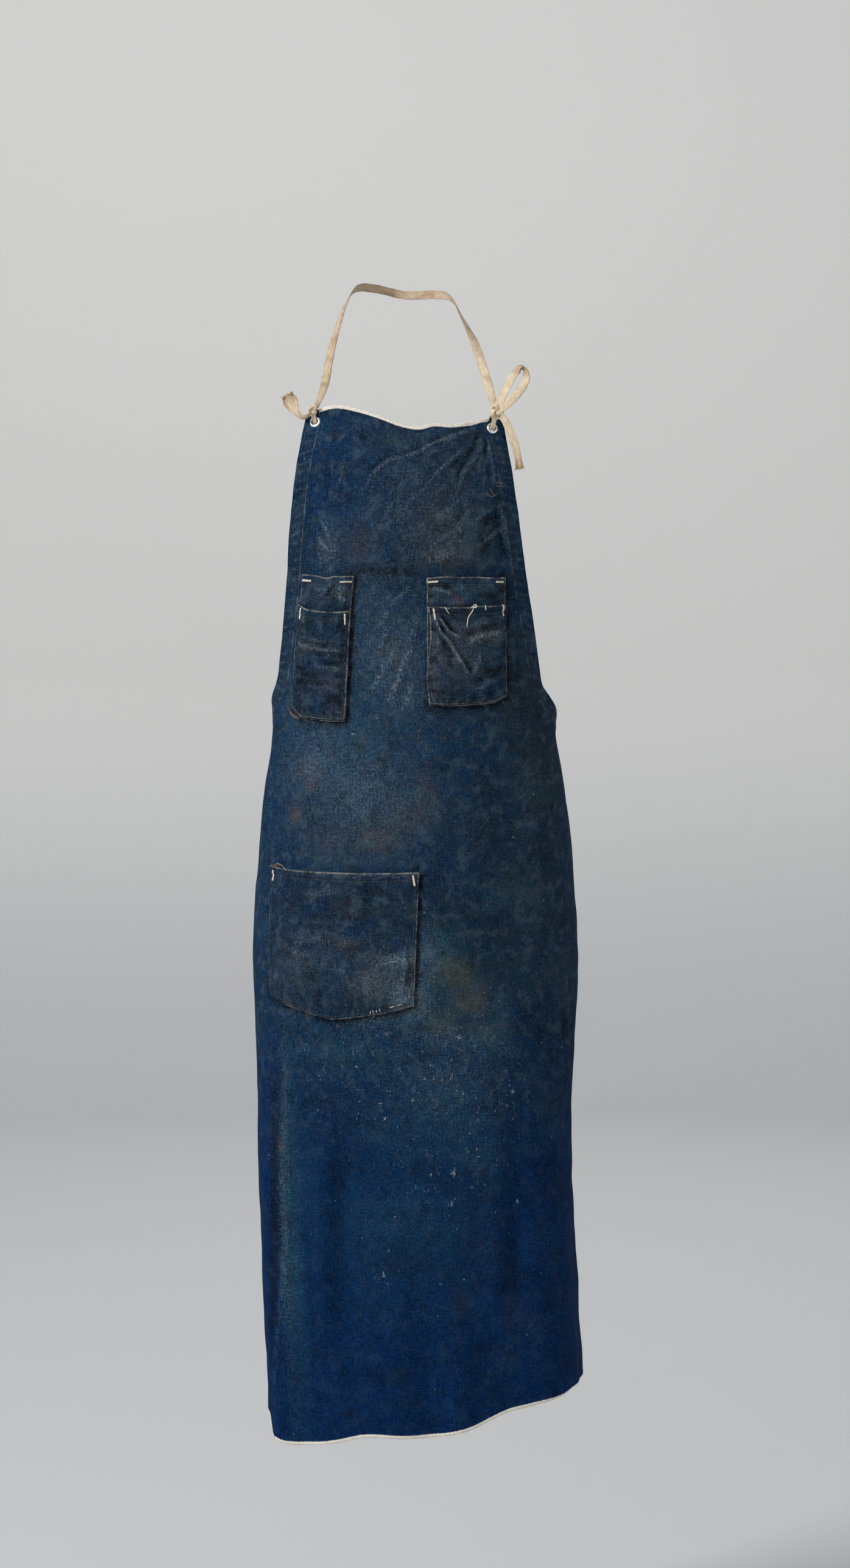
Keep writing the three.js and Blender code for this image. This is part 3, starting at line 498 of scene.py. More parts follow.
def crease_fields(a, b, creases, finest):
    """Rise and rub of a set of creases: across each a bell with a trough on one side, along it
    faded in and out. The rub is a thin line on the crest, no finer than the grid can show."""
    rise = np.zeros(np.shape(a))
    rub = np.zeros(np.shape(a))
    for route, width, height, worn in creases:
        off, share = off_route(a, b, route)
        fade = smooth_step(0, 0.16, share) * (1 - smooth_step(0.7, 1, share))
        bell = np.exp(-(off / width) ** 2)
        trough = np.exp(-((off - 1.7 * width) / (1.1 * width)) ** 2)
        rise += height * fade * (bell - 0.6 * trough)
        rub += worn * fade * np.exp(-(off / max(0.34 * width, finest)) ** 2)
    return rise, rub


def ripples(a, b, seed, count, shortest, longest):
    """Sum of even waves in random directions, the longer the higher, about one unit high."""
    rng = np.random.default_rng(seed)
    lengths = rng.uniform(shortest, longest, count)
    turns = rng.uniform(0, np.pi, count)
    phases = rng.uniform(0, 2 * np.pi, count)
    total = np.zeros(np.shape(a))
    for length, turn, phase in zip(lengths, turns, phases):
        way = (a * np.cos(turn) + b * np.sin(turn)) / length
        total += length / longest * np.sin(2 * np.pi * way + phase)
    return total / np.sqrt(count / 2)


def spots(s, z, rows):
    """Strongest of a set of soft oval spots, each a bell in both directions."""
    field = np.zeros(np.shape(s))
    for middle_s, middle_z, wide, tall, strength in rows:
        field = np.maximum(field, strength * np.exp(
            -((s - middle_s) / wide) ** 2 - ((z - middle_z) / tall) ** 2))
    return field


def eyelet_calm(s, z, near, far):
    """Nought at the eyelets and one away from them."""
    calm = np.ones(np.shape(s))
    for middle_s, middle_z in EYELETS.values():
        calm *= smooth_step(near, far, np.hypot(s - middle_s, z - middle_z))
    return calm


def cloth_rise(s, z):
    """Relief of the cloth: the main folds as bells along straight lines, the creases, and slight
    random dents, stilled round the eyelets."""
    folds = np.zeros(np.shape(s))
    for s_top, z_top, s_foot, z_foot, width, rise, fade in FOLDS:
        length = np.hypot(s_foot - s_top, z_foot - z_top)
        way_s, way_z = (s_foot - s_top) / length, (z_foot - z_top) / length
        down = (s - s_top) * way_s + (z - z_top) * way_z
        off = (s - s_top) * way_z - (z - z_top) * way_s
        ends = smooth_step(0, fade, down) * (1 - smooth_step(length - fade, length, down))
        folds += rise * ends * np.exp(-(off / width) ** 2)
    folds *= eyelet_calm(s, z, EYELET_CALM / 2, EYELET_CALM)
    creases, _ = crease_fields(s, z, CREASES, CLOTH_LINE)
    dents = 0.34 * ripples(s, z, 11, 18, 22, 60) + 0.55 * ripples(s, z, 12, 14, 60, 150)
    return folds + (creases + dents) * eyelet_calm(s, z, 8, 20)


def on_cloth(s, z, lift):
    """Places on the cloth: the form, moved out by the cloth's relief and by a lift."""
    s, z = np.broadcast_arrays(np.asarray(s, float), np.asarray(z, float))
    x, y, out_x, out_y = form_at(s, z)
    out = cloth_rise(s, z) + lift
    return np.stack([x + out_x * out, y + out_y * out, z], axis=-1)


def cloth_out(s, z):
    """Level outward direction of the cloth's form."""
    s, z = np.broadcast_arrays(np.asarray(s, float), np.asarray(z, float))
    _, _, out_x, out_y = form_at(s, z)
    return np.stack([out_x, out_y, np.zeros(np.shape(s))], axis=-1)


# Colours

def shade(colour):
    """Colour from 0 to 255 as the linear light that a shader takes."""
    value = np.array(colour, float) / 255
    return np.where(value <= 0.04045, value / 12.92, ((value + 0.055) / 1.055) ** 2.4)


def tinted(colour, layers):
    """A colour with others laid over it in turn, each by its own field from nought to one."""
    mixed = np.broadcast_to(shade(colour), np.shape(layers[0][1]) + (3,))
    for over, share in layers:
        share = np.clip(share, 0, 1)[..., None]
        mixed = mixed * (1 - share) + shade(over) * share
    return mixed


# Meshes

def cells_between(numbers):
    """Corner numbers of the cells between the numbered points of a grid."""
    corners = [numbers[:-1, :-1], numbers[1:, :-1], numbers[1:, 1:], numbers[:-1, 1:]]
    return np.stack(corners, axis=-1).reshape(-1, 4)


def grid_cells(rows, columns, wrap_rows=False, wrap_columns=False):
    """Corner numbers of the cells of a grid that is counted row by row."""
    numbers = np.arange(rows * columns).reshape(rows, columns)
    if wrap_rows:
        numbers = np.concatenate([numbers, numbers[:1]], axis=0)
    if wrap_columns:
        numbers = np.concatenate([numbers, numbers[:, :1]], axis=1)
    return cells_between(numbers)


def rim_edges(cells):
    """Edges that only one cell has, in that cell's own direction."""
    start = cells.ravel()
    end = np.roll(cells, -1, axis=1).ravel()
    count = cells.max() + 1
    lone = ~np.isin(start * count + end, end * count + start)
    return np.stack([start[lone], end[lone]], axis=1)


def rounded_wall(outer, inner, cells):
    """Closed wall of cloth between an outer and an inner face on the same grid. A row of points
    halfway through bulges past the rim by half the thickness, so cut and folded edges are round.
    Gives the points, the faces, and for each point the number of the grid point it belongs to."""
    count = len(outer)
    edges = rim_edges(cells)
    start, end = edges[:, 0], edges[:, 1]
    rim = np.unique(edges)
    place = np.full(count, -1)
    place[rim] = np.arange(len(rim))
    tangent = outer[end] - outer[start]
    through = outer - inner
    past = np.zeros((count, 3))
    sideways = np.cross(tangent, (through[start] + through[end]) / 2)
    np.add.at(past, start, sideways)
    np.add.at(past, end, sideways)
    thick = np.linalg.norm(through[rim], axis=1, keepdims=True)
    middle = (outer[rim] + inner[rim]) / 2 + unit(past[rim]) * thick * 0.5
    points = np.concatenate([outer, inner, middle])
    mid_start, mid_end = 2 * count + place[start], 2 * count + place[end]
    faces = np.concatenate([
        cells,
        cells[:, ::-1] + count,
        np.stack([end, start, mid_start, mid_end], axis=1),
        np.stack([mid_end, mid_start, start + count, end + count], axis=1),
    ])
    owner = np.concatenate([np.arange(count), np.arange(count), rim])
    return points, faces, owner


def make_mesh(name, points, faces, material, uv=None, fields=None, colours=None):
    """Blender object at the origin from whole arrays: points in millimetres, faces as one array
    or several with three or four corners, flat places for the weave, and fields for the wear, tone
    and painted shade."""
    groups = faces if isinstance(faces, list) else [faces]
    corners = np.concatenate([group.ravel() for group in groups]).astype(np.int32)
    sizes = np.concatenate([np.full(len(group), group.shape[1]) for group in groups])
    starts = np.concatenate([[0], np.cumsum(sizes)[:-1]]).astype(np.int32)
    mesh = bpy.data.meshes.new(name)
    mesh.vertices.add(len(points))
    mesh.vertices.foreach_set("co", to_frame(points).astype(np.float32).ravel())
    mesh.loops.add(len(corners))
    mesh.loops.foreach_set("vertex_index", corners)
    mesh.polygons.add(len(sizes))
    mesh.polygons.foreach_set("loop_start", starts)
    mesh.update(calc_edges=True)
    mesh.polygons.foreach_set("use_smooth", np.ones(len(sizes), bool))
    if uv is not None:
        layer = mesh.uv_layers.new(name="flat")
        layer.data.foreach_set("uv", (uv[corners] * MM).astype(np.float32).ravel())
    for key, values in (fields or {}).items():
        attribute = mesh.attributes.new(key, "FLOAT", "POINT")
        attribute.data.foreach_set("value", values.astype(np.float32))
    for key, values in (colours or {}).items():
        attribute = mesh.attributes.new(key, "FLOAT_COLOR", "POINT")
        full = np.concatenate([values, np.ones((len(values), 1))], axis=1)
        attribute.data.foreach_set("color", full.astype(np.float32).ravel())
    mesh.materials.append(material)
    piece = bpy.data.objects.new(name, mesh)
    bpy.context.scene.collection.objects.link(piece)
    return piece


def settle(piece, slot, *nodes):
    """Carries a piece on the apron's body in place of CAD nodes, which it hides; the slot is not
    used.
    """
    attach(piece, BODY)
    if nodes:
        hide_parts(*nodes)
    return piece


# Materials

def put(tree, kind, inputs=None, **settings):
    """Adds a node: settings are its own, inputs are values or another node's output."""
    node = tree.nodes.new(kind)
    for key, value in settings.items():
        setattr(node, key, value)
    for key, value in (inputs or {}).items():
        if isinstance(value, bpy.types.NodeSocket):
            tree.links.new(value, node.inputs[key])
        else:
            node.inputs[key].default_value = value
    return node


def work(tree, operation, first, second, clamp=False):
    """Arithmetic on two values or outputs."""
    return put(tree, "ShaderNodeMath", {0: first, 1: second}, operation=operation,
               use_clamp=clamp).outputs[0]


def times(tree, first, second, clamp=False):
    """Product of two values or outputs."""
    return work(tree, "MULTIPLY", first, second, clamp)


def plus(tree, first, second, clamp=False):
    """Sum of two values or outputs."""
    return work(tree, "ADD", first, second, clamp)


def ease(tree, value, low, high, start=0.0, stop=1.0):
    """Value eased from start to stop as it goes from low to high."""
    return put(tree, "ShaderNodeMapRange", {
        "Value": value, "From Min": low, "From Max": high, "To Min": start, "To Max": stop,
    }, interpolation_type="SMOOTHSTEP").outputs[0]


def blend(tree, share, under, over, mode="MIX"):
    """One colour laid over another."""
    colours = {0: share}
    for key, value in ((6, under), (7, over)):
        plain = not isinstance(value, bpy.types.NodeSocket)
        colours[key] = (*value, 1.0) if plain else value
    return put(tree, "ShaderNodeMix", colours, data_type="RGBA", blend_type=mode).outputs[2]


def field(tree, name):
    """A field of the piece by name."""
    return put(tree, "ShaderNodeAttribute", attribute_name=name).outputs["Fac"]


def cloudy(tree, place, wide, tall, detail=2.0, roughness=0.5, shift=0.0, turn=0.0):
    """Noise with grains of a given width and height in metres, turned, and moved by a shift."""
    if turn:
        place = put(tree, "ShaderNodeMapping", {"Vector": place, "Rotation": (0, 0, turn)}).outputs[0]
    mapped = put(tree, "ShaderNodeMapping", {
        "Vector": place, "Location": (shift, shift, 0.0), "Scale": (1 / wide, 1 / tall, 1.0)})
    return put(tree, "ShaderNodeTexNoise", {
        "Vector": mapped.outputs[0], "Scale": 1.0, "Detail": detail, "Roughness": roughness,
    }, noise_dimensions="2D").outputs[0]


def speckle(tree, scale, detail):
    """Even noise on the piece's own coordinates."""
    place = put(tree, "ShaderNodeTexCoord").outputs["Object"]
    return put(tree, "ShaderNodeTexNoise", {
        "Vector": place, "Scale": scale, "Detail": detail}).outputs[0]


def raised(tree, shader, height, strength, distance):
    """Gives a shader fine relief from a height."""
    bump = put(tree, "ShaderNodeBump", {
        "Height": height, "Strength": strength, "Distance": distance})
    tree.links.new(bump.outputs[0], shader.inputs["Normal"])


def new_finish(name, roughness, sheen=0.0, metallic=0.0, specular=0.25):
    """A material and its shader, with what is the same all over set on the shader."""
    material = bpy.data.materials.new(name)
    material.use_nodes = True
    shader = material.node_tree.nodes["Principled BSDF"]
    shader.inputs["Roughness"].default_value = roughness
    shader.inputs["Metallic"].default_value = metallic
    shader.inputs["Sheen Weight"].default_value = sheen
    shader.inputs["Sheen Roughness"].default_value = 0.6
    shader.inputs["Specular IOR Level"].default_value = specular
    return material, material.node_tree, shader


def denim(name, selvedge, pale_edges):
    """Indigo twill: the colour of each place, dye with painted shade laid in, streaked along warp and
    weft, clouded with teal, olive, plum and soot, scratched, rubbed on its ridges and edges, specked
    white, bare at the selvedge and paler on the reverse."""
    material, tree, shader = new_finish(name, 0.92, specular=0.04)
    place = put(tree, "ShaderNodeUVMap", uv_map="flat").outputs[0]

    def clouds(wide, tall, shift=0.0):
        """Broad rough noise for the tints."""
        return cloudy(tree, place, wide, tall, detail=5.0, roughness=0.68, shift=shift)

    dye_and_shade = put(tree, "ShaderNodeAttribute", attribute_name="dye_and_shade").outputs["Color"]
    cloud = field(tree, "cloud")
    warp = cloudy(tree, place, 0.0014, 0.012, detail=3.0, roughness=0.6)
    weft = cloudy(tree, place, 0.011, 0.0013, detail=3.0, roughness=0.6)
    grain = cloudy(tree, place, 0.0022, 0.0026, detail=4.0, roughness=0.72)
    blotch = clouds(0.016, 0.018)
    teal = clouds(0.011, 0.015, 3.0)
    plum = clouds(0.013, 0.012, 7.0)
    soot = clouds(0.02, 0.026, 11.0)
    olive = clouds(0.014, 0.016, 53.0)
    streaks = plus(tree, times(tree, warp, 0.5), times(tree, weft, 0.5))
    weave = plus(tree, times(tree, streaks, 0.5), times(tree, grain, 0.5))
    depth = ease(tree, weave, 0.36, 0.64, 0.5, 1.6)
    toned = blend(tree, 1.0, dye_and_shade, put(tree, "ShaderNodeCombineXYZ", {
        0: depth, 1: depth, 2: depth}).outputs[0], "MULTIPLY")
    for noise, low, high, most, clouded, colour, mode in (
            (teal, 0.46, 0.66, 0.85, False, (0.82, 1.22, 1.12), "MULTIPLY"),
            (olive, 0.48, 0.66, 0.8, True, (1.2, 1.08, 0.82), "MULTIPLY"),
            (plum, 0.48, 0.7, 0.38, True, shade(PLUM), "MIX"),
            (soot, 0.5, 0.72, 0.7, False, (0.62, 0.58, 0.54), "MULTIPLY"),
            (blotch, 0.5, 0.68, 0.5, True, shade(HAZE), "MIX"),
            (weave, 0.55, 0.7, 0.38, True, shade(FLECK), "MIX")):
        share = ease(tree, noise, low, high, 0.0, most)
        toned = blend(tree, times(tree, share, cloud) if clouded else share, toned, colour, mode)

    slant = cloudy(tree, place, 0.0024, 0.03, detail=4.0, roughness=0.6, shift=17.0, turn=0.75)
    steep = cloudy(tree, place, 0.0022, 0.026, detail=4.0, roughness=0.6, shift=23.0, turn=-0.3)
    scratch = plus(tree, ease(tree, slant, 0.58, 0.74, 0.0, 0.7),
                   ease(tree, steep, 0.6, 0.76, 0.0, 0.5), True)
    furrow = plus(tree, ease(tree, slant, 0.42, 0.3, 0.0, 0.5),
                  ease(tree, steep, 0.4, 0.28, 0.0, 0.4), True)
    worn = cloudy(tree, place, 0.05, 0.06, detail=4.0, roughness=0.6, shift=29.0)
    handled = times(tree, ease(tree, worn, 0.46, 0.66), cloud)
    toned = blend(tree, times(tree, furrow, handled), toned, (0.6, 0.62, 0.64), "MULTIPLY")
    toned = blend(tree, times(tree, scratch, times(tree, handled, 0.3)), toned, shade(SCRATCHED))

    broken = plus(tree, ease(tree, weave, 0.47, 0.6, 0.1, 1.0), times(tree, scratch, 0.5))
    rub = times(tree, field(tree, "rub"), broken)
    toned = blend(tree, times(tree, rub, 0.75, True), toned, shade(RUBBED))

    bunched = cloudy(tree, place, 0.011, 0.013, detail=4.0, roughness=0.62, shift=41.0)
    frosted = times(tree, field(tree, "speck"), ease(tree, bunched, 0.5, 0.64, 0.02, 1.0))
    for scale, share, strength in ((150.0, 0.05, 0.7), (390.0, 0.5, 0.62), (760.0, 0.9, 0.55)):
        drawn = put(tree, "ShaderNodeMapping", {
            "Vector": place, "Scale": (1.3 * scale, 0.8 * scale, 1.0)}).outputs[0]
        cell = put(tree, "ShaderNodeTexVoronoi", {
            "Vector": drawn, "Scale": 1.0, "Randomness": 1.0}, voronoi_dimensions="2D")
        lot = put(tree, "ShaderNodeSeparateColor", {0: cell.outputs["Color"]})
        chosen = work(tree, "GREATER_THAN", times(tree, frosted, share), lot.outputs[0])
        small = ease(tree, plus(tree, cell.outputs["Distance"], times(tree, grain, 0.3)),
                     0.3, 0.56, 1.0, 0.0)
        speck = times(tree, times(tree, chosen, small), times(tree, lot.outputs[1], strength))
        toned = blend(tree, speck, toned, shade(SPECK))

    edge = plus(tree, field(tree, "edge"), ease(tree, grain, 0.3, 0.7, -0.5, 0.5))
    if pale_edges:
        frayed = ease(tree, edge, 0.0, 0.8, 0.7, 0.0)
        frayed = times(tree, frayed, ease(tree, blotch, 0.36, 0.56, 0.1, 1.0))
        toned = blend(tree, frayed, toned, shade(FRAYED))
    else:
        line = times(tree, ease(tree, edge, 16.8, 17.8), ease(tree, edge, 18.2, 19.4, 1, 0))
        line = times(tree, line, ease(tree, blotch, 0.4, 0.6, 0.1, 0.6))
        toned = blend(tree, line, toned, shade(FOLD_LINE))
        pressed = times(tree, ease(tree, edge, 12.6, 14.4), ease(tree, edge, 15.2, 16.6, 1, 0))
        toned = blend(tree, times(tree, pressed, 0.5), toned, shade(OIL))
    back = blend(tree, ease(tree, weave, 0.38, 0.62), shade(REVERSE), shade(REVERSE_WEFT))
    back = blend(tree, ease(tree, soot, 0.48, 0.7, 0.0, 0.8), back, (0.7, 0.68, 0.64), "MULTIPLY")
    back = blend(tree, ease(tree, teal, 0.5, 0.7, 0.0, 0.35), back, shade(INDIGO))
    toned = blend(tree, field(tree, "reverse"), toned, back)
    if selvedge:
        bare = plus(tree, field(tree, "selvedge"), ease(tree, grain, 0.3, 0.7, -0.35, 0.35))
        woven = blend(tree, ease(tree, weave, 0.35, 0.65), shade(SELVEDGE_WEFT), shade(UNDYED))
        toned = blend(tree, ease(tree, bare, -0.3, 0.3, 1.0, 0.0), toned, woven)
    tree.links.new(toned, shader.inputs["Base Color"])

    aslant = put(tree, "ShaderNodeMapping", {"Vector": place, "Rotation": (0, 0, 0.9)}).outputs[0]
    twill = put(tree, "ShaderNodeTexWave", {
        "Vector": aslant, "Scale": 280.0, "Distortion": 1.2, "Detail": 1.0,
    }, wave_profile="SIN").outputs["Fac"]
    raised(tree, shader, plus(tree, weave, times(tree, twill, 0.25)), 0.6, 0.0009)
    tree.links.new(ease(tree, weave, 0.3, 0.7, 0.98, 0.88), shader.inputs["Roughness"])
    return material


def thread(name, light, dark):
    """Spun thread: a colour for each stitch between two shades, with fine twisted streaks."""
    material, tree, shader = new_finish(name, 0.8, sheen=0.2)
    twist = speckle(tree, 900.0, 2.0)
    mixed = plus(tree, times(tree, field(tree, "tone"), 0.7), times(tree, twist, 0.4), True)
    tree.links.new(blend(tree, mixed, shade(dark), shade(light)), shader.inputs["Base Color"])
    raised(tree, shader, twist, 0.4, 0.0003)
    return material


def cotton_tape(name):
    """Unbleached tape: fine crosswise ribs, soiled in patches, and darkened by a field of the piece
    that holds soil at the ends, darker edges and painted shade on the neck strand.
    """
    material, tree, shader = new_finish(name, 0.88, sheen=0.15)
    place = put(tree, "ShaderNodeUVMap", uv_map="flat").outputs[0]
    ribs = put(tree, "ShaderNodeTexWave", {
        "Vector": place, "Scale": 190.0, "Distortion": 1.5, "Detail": 2.0,
        "Detail Scale": 2.0}, bands_direction="Y").outputs["Fac"]
    fibres = cloudy(tree, place, 0.0007, 0.008, detail=3.0, roughness=0.6)
    patches = cloudy(tree, place, 0.012, 0.02, detail=3.0, roughness=0.6)
    # Soil in patches, plus the piece's field of soil, darker edges and painted shade
    soil_and_shade = plus(tree, ease(tree, patches, 0.4, 0.75, 0.0, 0.55), field(tree, "soil_and_shade"), True)
    colour = blend(tree, ease(tree, fibres, 0.3, 0.7), shade(TAPE_DEEP), shade(TAPE_PALE))
    colour = blend(tree, soil_and_shade, colour, shade(TAPE_SOIL_AND_SHADE))
    colour = blend(tree, times(tree, ribs, 0.14), colour, shade(TAPE_RIB))
    tree.links.new(colour, shader.inputs["Base Color"])
    raised(tree, shader, plus(tree, times(tree, ribs, 0.5), fibres), 0.5, 0.0004)
    return material


def pressed_metal(name):
    """White metal, dulled and finely scratched."""
    material, tree, shader = new_finish(name, 0.36, metallic=0.85)
    dull = speckle(tree, 420.0, 4.0)
    colour = blend(tree, ease(tree, dull, 0.45, 0.7), shade(METAL_BRIGHT), shade(METAL_DULL))
    tree.links.new(colour, shader.inputs["Base Color"])
    tree.links.new(ease(tree, dull, 0.3, 0.7, 0.28, 0.5), shader.inputs["Roughness"])
    raised(tree, shader, dull, 0.15, 0.0002)
    return material


CLOTH_DENIM = denim("worn_denim", selvedge=True, pale_edges=False)
PATCH_DENIM = denim("pocket_denim", selvedge=False, pale_edges=True)
COTTON = cotton_tape("cotton_tape")
METAL = pressed_metal("pressed_white_metal")
TACK_THREAD = thread("tack_thread", (228, 220, 204), (176, 166, 150))
TIP_THREAD = thread("tip_thread", (206, 186, 158), (134, 106, 82))
SEAM_THREAD = thread("seam_thread", (84, 86, 84), (24, 32, 42))
HEM_THREAD = thread("hem_thread", (64, 78, 92), (26, 38, 54))
WORN_THREAD = thread("bared_thread", (164, 172, 176), (96, 112, 126))
RUST_THREAD = thread("rusty_thread", (132, 116, 98), (66, 58, 52))


# Apron cloth

def wing_top(s):
    """Level of the skirt's top edge: the armhole's foot, then a fall that dies away behind it."""
    foot = np.where(s < 0, BIB_EDGE[0, 1], BIB_EDGE[0, 2])
    past = np.maximum(np.abs(s) - foot, 0)
    return WING_TOP + (ARMHOLE_FOOT - WING_TOP) * np.exp(-past / WING_RUN)


def cloth_places():
    """Flat places of the cloth's points, as a T: the bib's columns fan out between its side
    edges, and the skirt carries them down and adds a wing of columns on each side. Rows crowd at
    the two selvedges. Gives s, z and which of the full grid's points are there."""
    inside = np.linspace(0, 1, FRONT_COLUMNS + 1)
    hem = np.linspace(0, 1, HEM_COLUMNS + 1)[1:]

    def half(edge):
        """Columns from the middle to one edge: even up to the hem, then even over the hem."""
        return np.concatenate([(edge - BIB_HEM) * inside, edge - BIB_HEM * (1 - hem)], axis=-1)

    top_run = EDGE_RUN / (BIB_TOP - ARMHOLE_FOOT)
    share = np.concatenate([np.linspace(1, 1 - top_run, EDGE_ROWS, endpoint=False),
                            np.linspace(1 - top_run, 0, BIB_ROWS)])[:, None]
    level = ARMHOLE_FOOT + (BIB_TOP - ARMHOLE_FOOT) * share
    left = half(curve_through(BIB_EDGE, level, 1))
    right = half(curve_through(BIB_EDGE, level, 2))
    bib_s = np.concatenate([-left[:, :0:-1], right], axis=1)
    bib_top = curve_through(TOP_EDGE, bib_s[0])
    bib_z = ARMHOLE_FOOT + (bib_top - ARMHOLE_FOOT) * share

    out = np.concatenate([np.linspace(0, 1, WING_COLUMNS + 1)[1:],
                          1 + np.linspace(0, 1, BACK_COLUMNS + 1)[1:]])

    def wing(foot):
        """Columns from the armhole's foot to the back edge: even to its hem, then over it."""
        reach = HALF_WIDTH - SIDE_HEM
        return np.where(out <= 1, foot + (reach - foot) * out, reach + SIDE_HEM * (out - 1))

    skirt_s = np.concatenate([-wing(BIB_EDGE[0, 1])[::-1], bib_s[-1], wing(BIB_EDGE[0, 2])])
    top = wing_top(skirt_s)
    foot = curve_through(FOOT_EDGE, skirt_s)
    hem_rows = np.linspace(0, 1, HEM_COLUMNS, endpoint=False)[1:, None]
    fall = np.linspace(0, 1, SKIRT_ROWS)[:, None]
    last = np.linspace(0, 1, EDGE_ROWS)[1:, None]
    skirt_z = np.concatenate([
        top - BIB_HEM * hem_rows,
        top - BIB_HEM + (foot + EDGE_RUN - top + BIB_HEM) * fall,
        foot + EDGE_RUN * (1 - last),
    ])
    wide = len(skirt_s)
    wings = WING_COLUMNS + BACK_COLUMNS
    s = np.zeros((len(bib_s) + len(skirt_z), wide))
    z = np.zeros_like(s)
    there = np.zeros(s.shape, bool)
    s[:len(bib_s), wings:wide - wings] = bib_s
    z[:len(bib_s), wings:wide - wings] = bib_z
    there[:len(bib_s), wings:wide - wings] = True
    s[len(bib_s):] = skirt_s
    z[len(bib_s):] = skirt_z
    there[len(bib_s):] = True
    seam = len(bib_s) - 1
    s[seam], z[seam], there[seam] = skirt_s, top, True
    return s, z, there


def punched(s, z, there):
    """Opens a round hole for each eyelet: rings of grid points round the nearest point are drawn
    into circles, fully at the hole and less and less outwards, and what lies inside goes. The
    bib's side edges keep their place."""
    s, z, there = s.copy(), z.copy(), there.copy()
    inside = np.zeros(s.shape, bool)
    for middle_s, middle_z in EYELETS.values():
        gap = np.where(there, np.hypot(s - middle_s, z - middle_z), np.inf)
        row, column = np.unravel_index(gap.argmin(), gap.shape)
        rows, columns = np.indices(s.shape)
        down, over = rows - row, columns - column
        shell = np.maximum(np.abs(down), np.abs(over))
        ring = (shell >= HOLE_SHELL) & (shell < HOLE_BLEND) & there
        turn = np.arctan2(-down, over)
        spread = EYELET_HOLE * shell / HOLE_SHELL
        inwards = np.minimum(columns, s.shape[1] - 1 - columns) - WING_COLUMNS - BACK_COLUMNS
        keep = 1 - (1 - smooth_step(HOLE_SHELL, HOLE_BLEND, shell)) * smooth_step(0, 2, inwards)
        s = np.where(ring, s * keep + (middle_s + spread * np.cos(turn)) * (1 - keep), s)
        z = np.where(ring, z * keep + (middle_z + spread * np.sin(turn)) * (1 - keep), z)
        inside |= shell < HOLE_SHELL
    return s, z, there & ~inside


def grid_of(there):
    """Cells of a grid whose four corners are all there, with its points renumbered."""
    number = np.full(there.shape, -1)
    number[there] = np.arange(there.sum())
    cells = cells_between(number)
    return cells[(cells >= 0).all(axis=1)]


def armhole_route(side):
    """Hemmed edge of one side: down the bib, round the armhole and back along the wing."""
    sign, column = (-1, 1) if side == "left" else (1, 2)
    levels = np.linspace(BIB_TOP, ARMHOLE_FOOT, 40)
    bib = np.stack([sign * curve_through(BIB_EDGE, levels, column), levels], axis=1)
    out = np.linspace(BIB_EDGE[0, column], HALF_WIDTH, 30)[1:]
    wing = np.stack([sign * out, wing_top(sign * out)], axis=1)
    return np.concatenate([bib, wing])


def cloth_dye_and_shade(s, z, painted_crease_shade, pocket_shadow_band):
    """Colour of the cloth: indigo, deeper and bluer towards the foot, faded, washed, greyed and
    stained in soft spots, with a broad mottle over all. Painted shade lies down the right side and in
    the hollows of creases and hem roping, and a painted shadow lies beside the pockets."""
    broad = ripples(s, z, 21, 16, 40, 130)
    fine = ripples(s, z, 22, 24, 12, 40)
    mottle = 0.5 + 0.28 * broad + 0.2 * fine
    lower = 1 - smooth_step(*DEEP_LEVELS, z + 30 * broad)
    rugged = np.clip(0.55 + 0.5 * mottle, 0.3, 1.2)
    return tinted(INDIGO, [
        (DEEP_INDIGO, 0.85 * lower + spots(s, z, BLUES)),
        (FADED, spots(s, z, FADES) * rugged),
        (WASHED, spots(s, z, WASHES) * rugged),
        # greyed wear, and painted shade down the right side
        (GREYED_AND_SHADE, spots(s, z, GREY_AND_SHADE_SPOTS) * rugged),
        (EARTH, spots(s, z, EARTHS) * rugged),
        (OCHRE, 0.75 * smooth_step(0.08, 0.8, spots(s, z, OCHRES) * rugged)),
        # oil stains, and painted shade along the crease between the bib pockets
        (OIL, spots(s, z, OILS_AND_SHADE) * rugged),
        (RUST, spots(s, z, RUSTS)),
        (FADED, 0.2 * smooth_step(0.5, 1.1, mottle) * (1 - 0.7 * lower)),
        (OIL, 0.25 * smooth_step(0.45, -0.1, mottle)),
        # painted shade in the troughs of creases and between the hem's ropes
        (PAINTED_SHADE, 0.65 * painted_crease_shade),
        # painted shadow that each pocket casts on the cloth beside its right side and foot
        (PAINTED_SHADE, 0.85 * pocket_shadow_band),
    ])


def pocket_outlines(s, z):
    """How near a place is to a pocket's right side or foot, from outside: a bell over the distance
    to that edge. There the patch's cast shadow is painted on the cloth, and the cloth sinks a little."""
    near = np.zeros(np.shape(s))
    for pocket in (PEN_POCKET, CHEST_POCKET, HAND_POCKET):
        p = np.concatenate([np.ones(12), np.linspace(1, 0, 24)])
        q = np.concatenate([np.linspace(0, 1, 12, endpoint=False), np.ones(24)])
        off, _ = off_route(s, z, np.stack(patch_place(pocket, p, q), axis=1))
        near = np.maximum(near, np.exp(-np.abs(off / POCKET_SHADOW_REACH) ** 3))
    return near


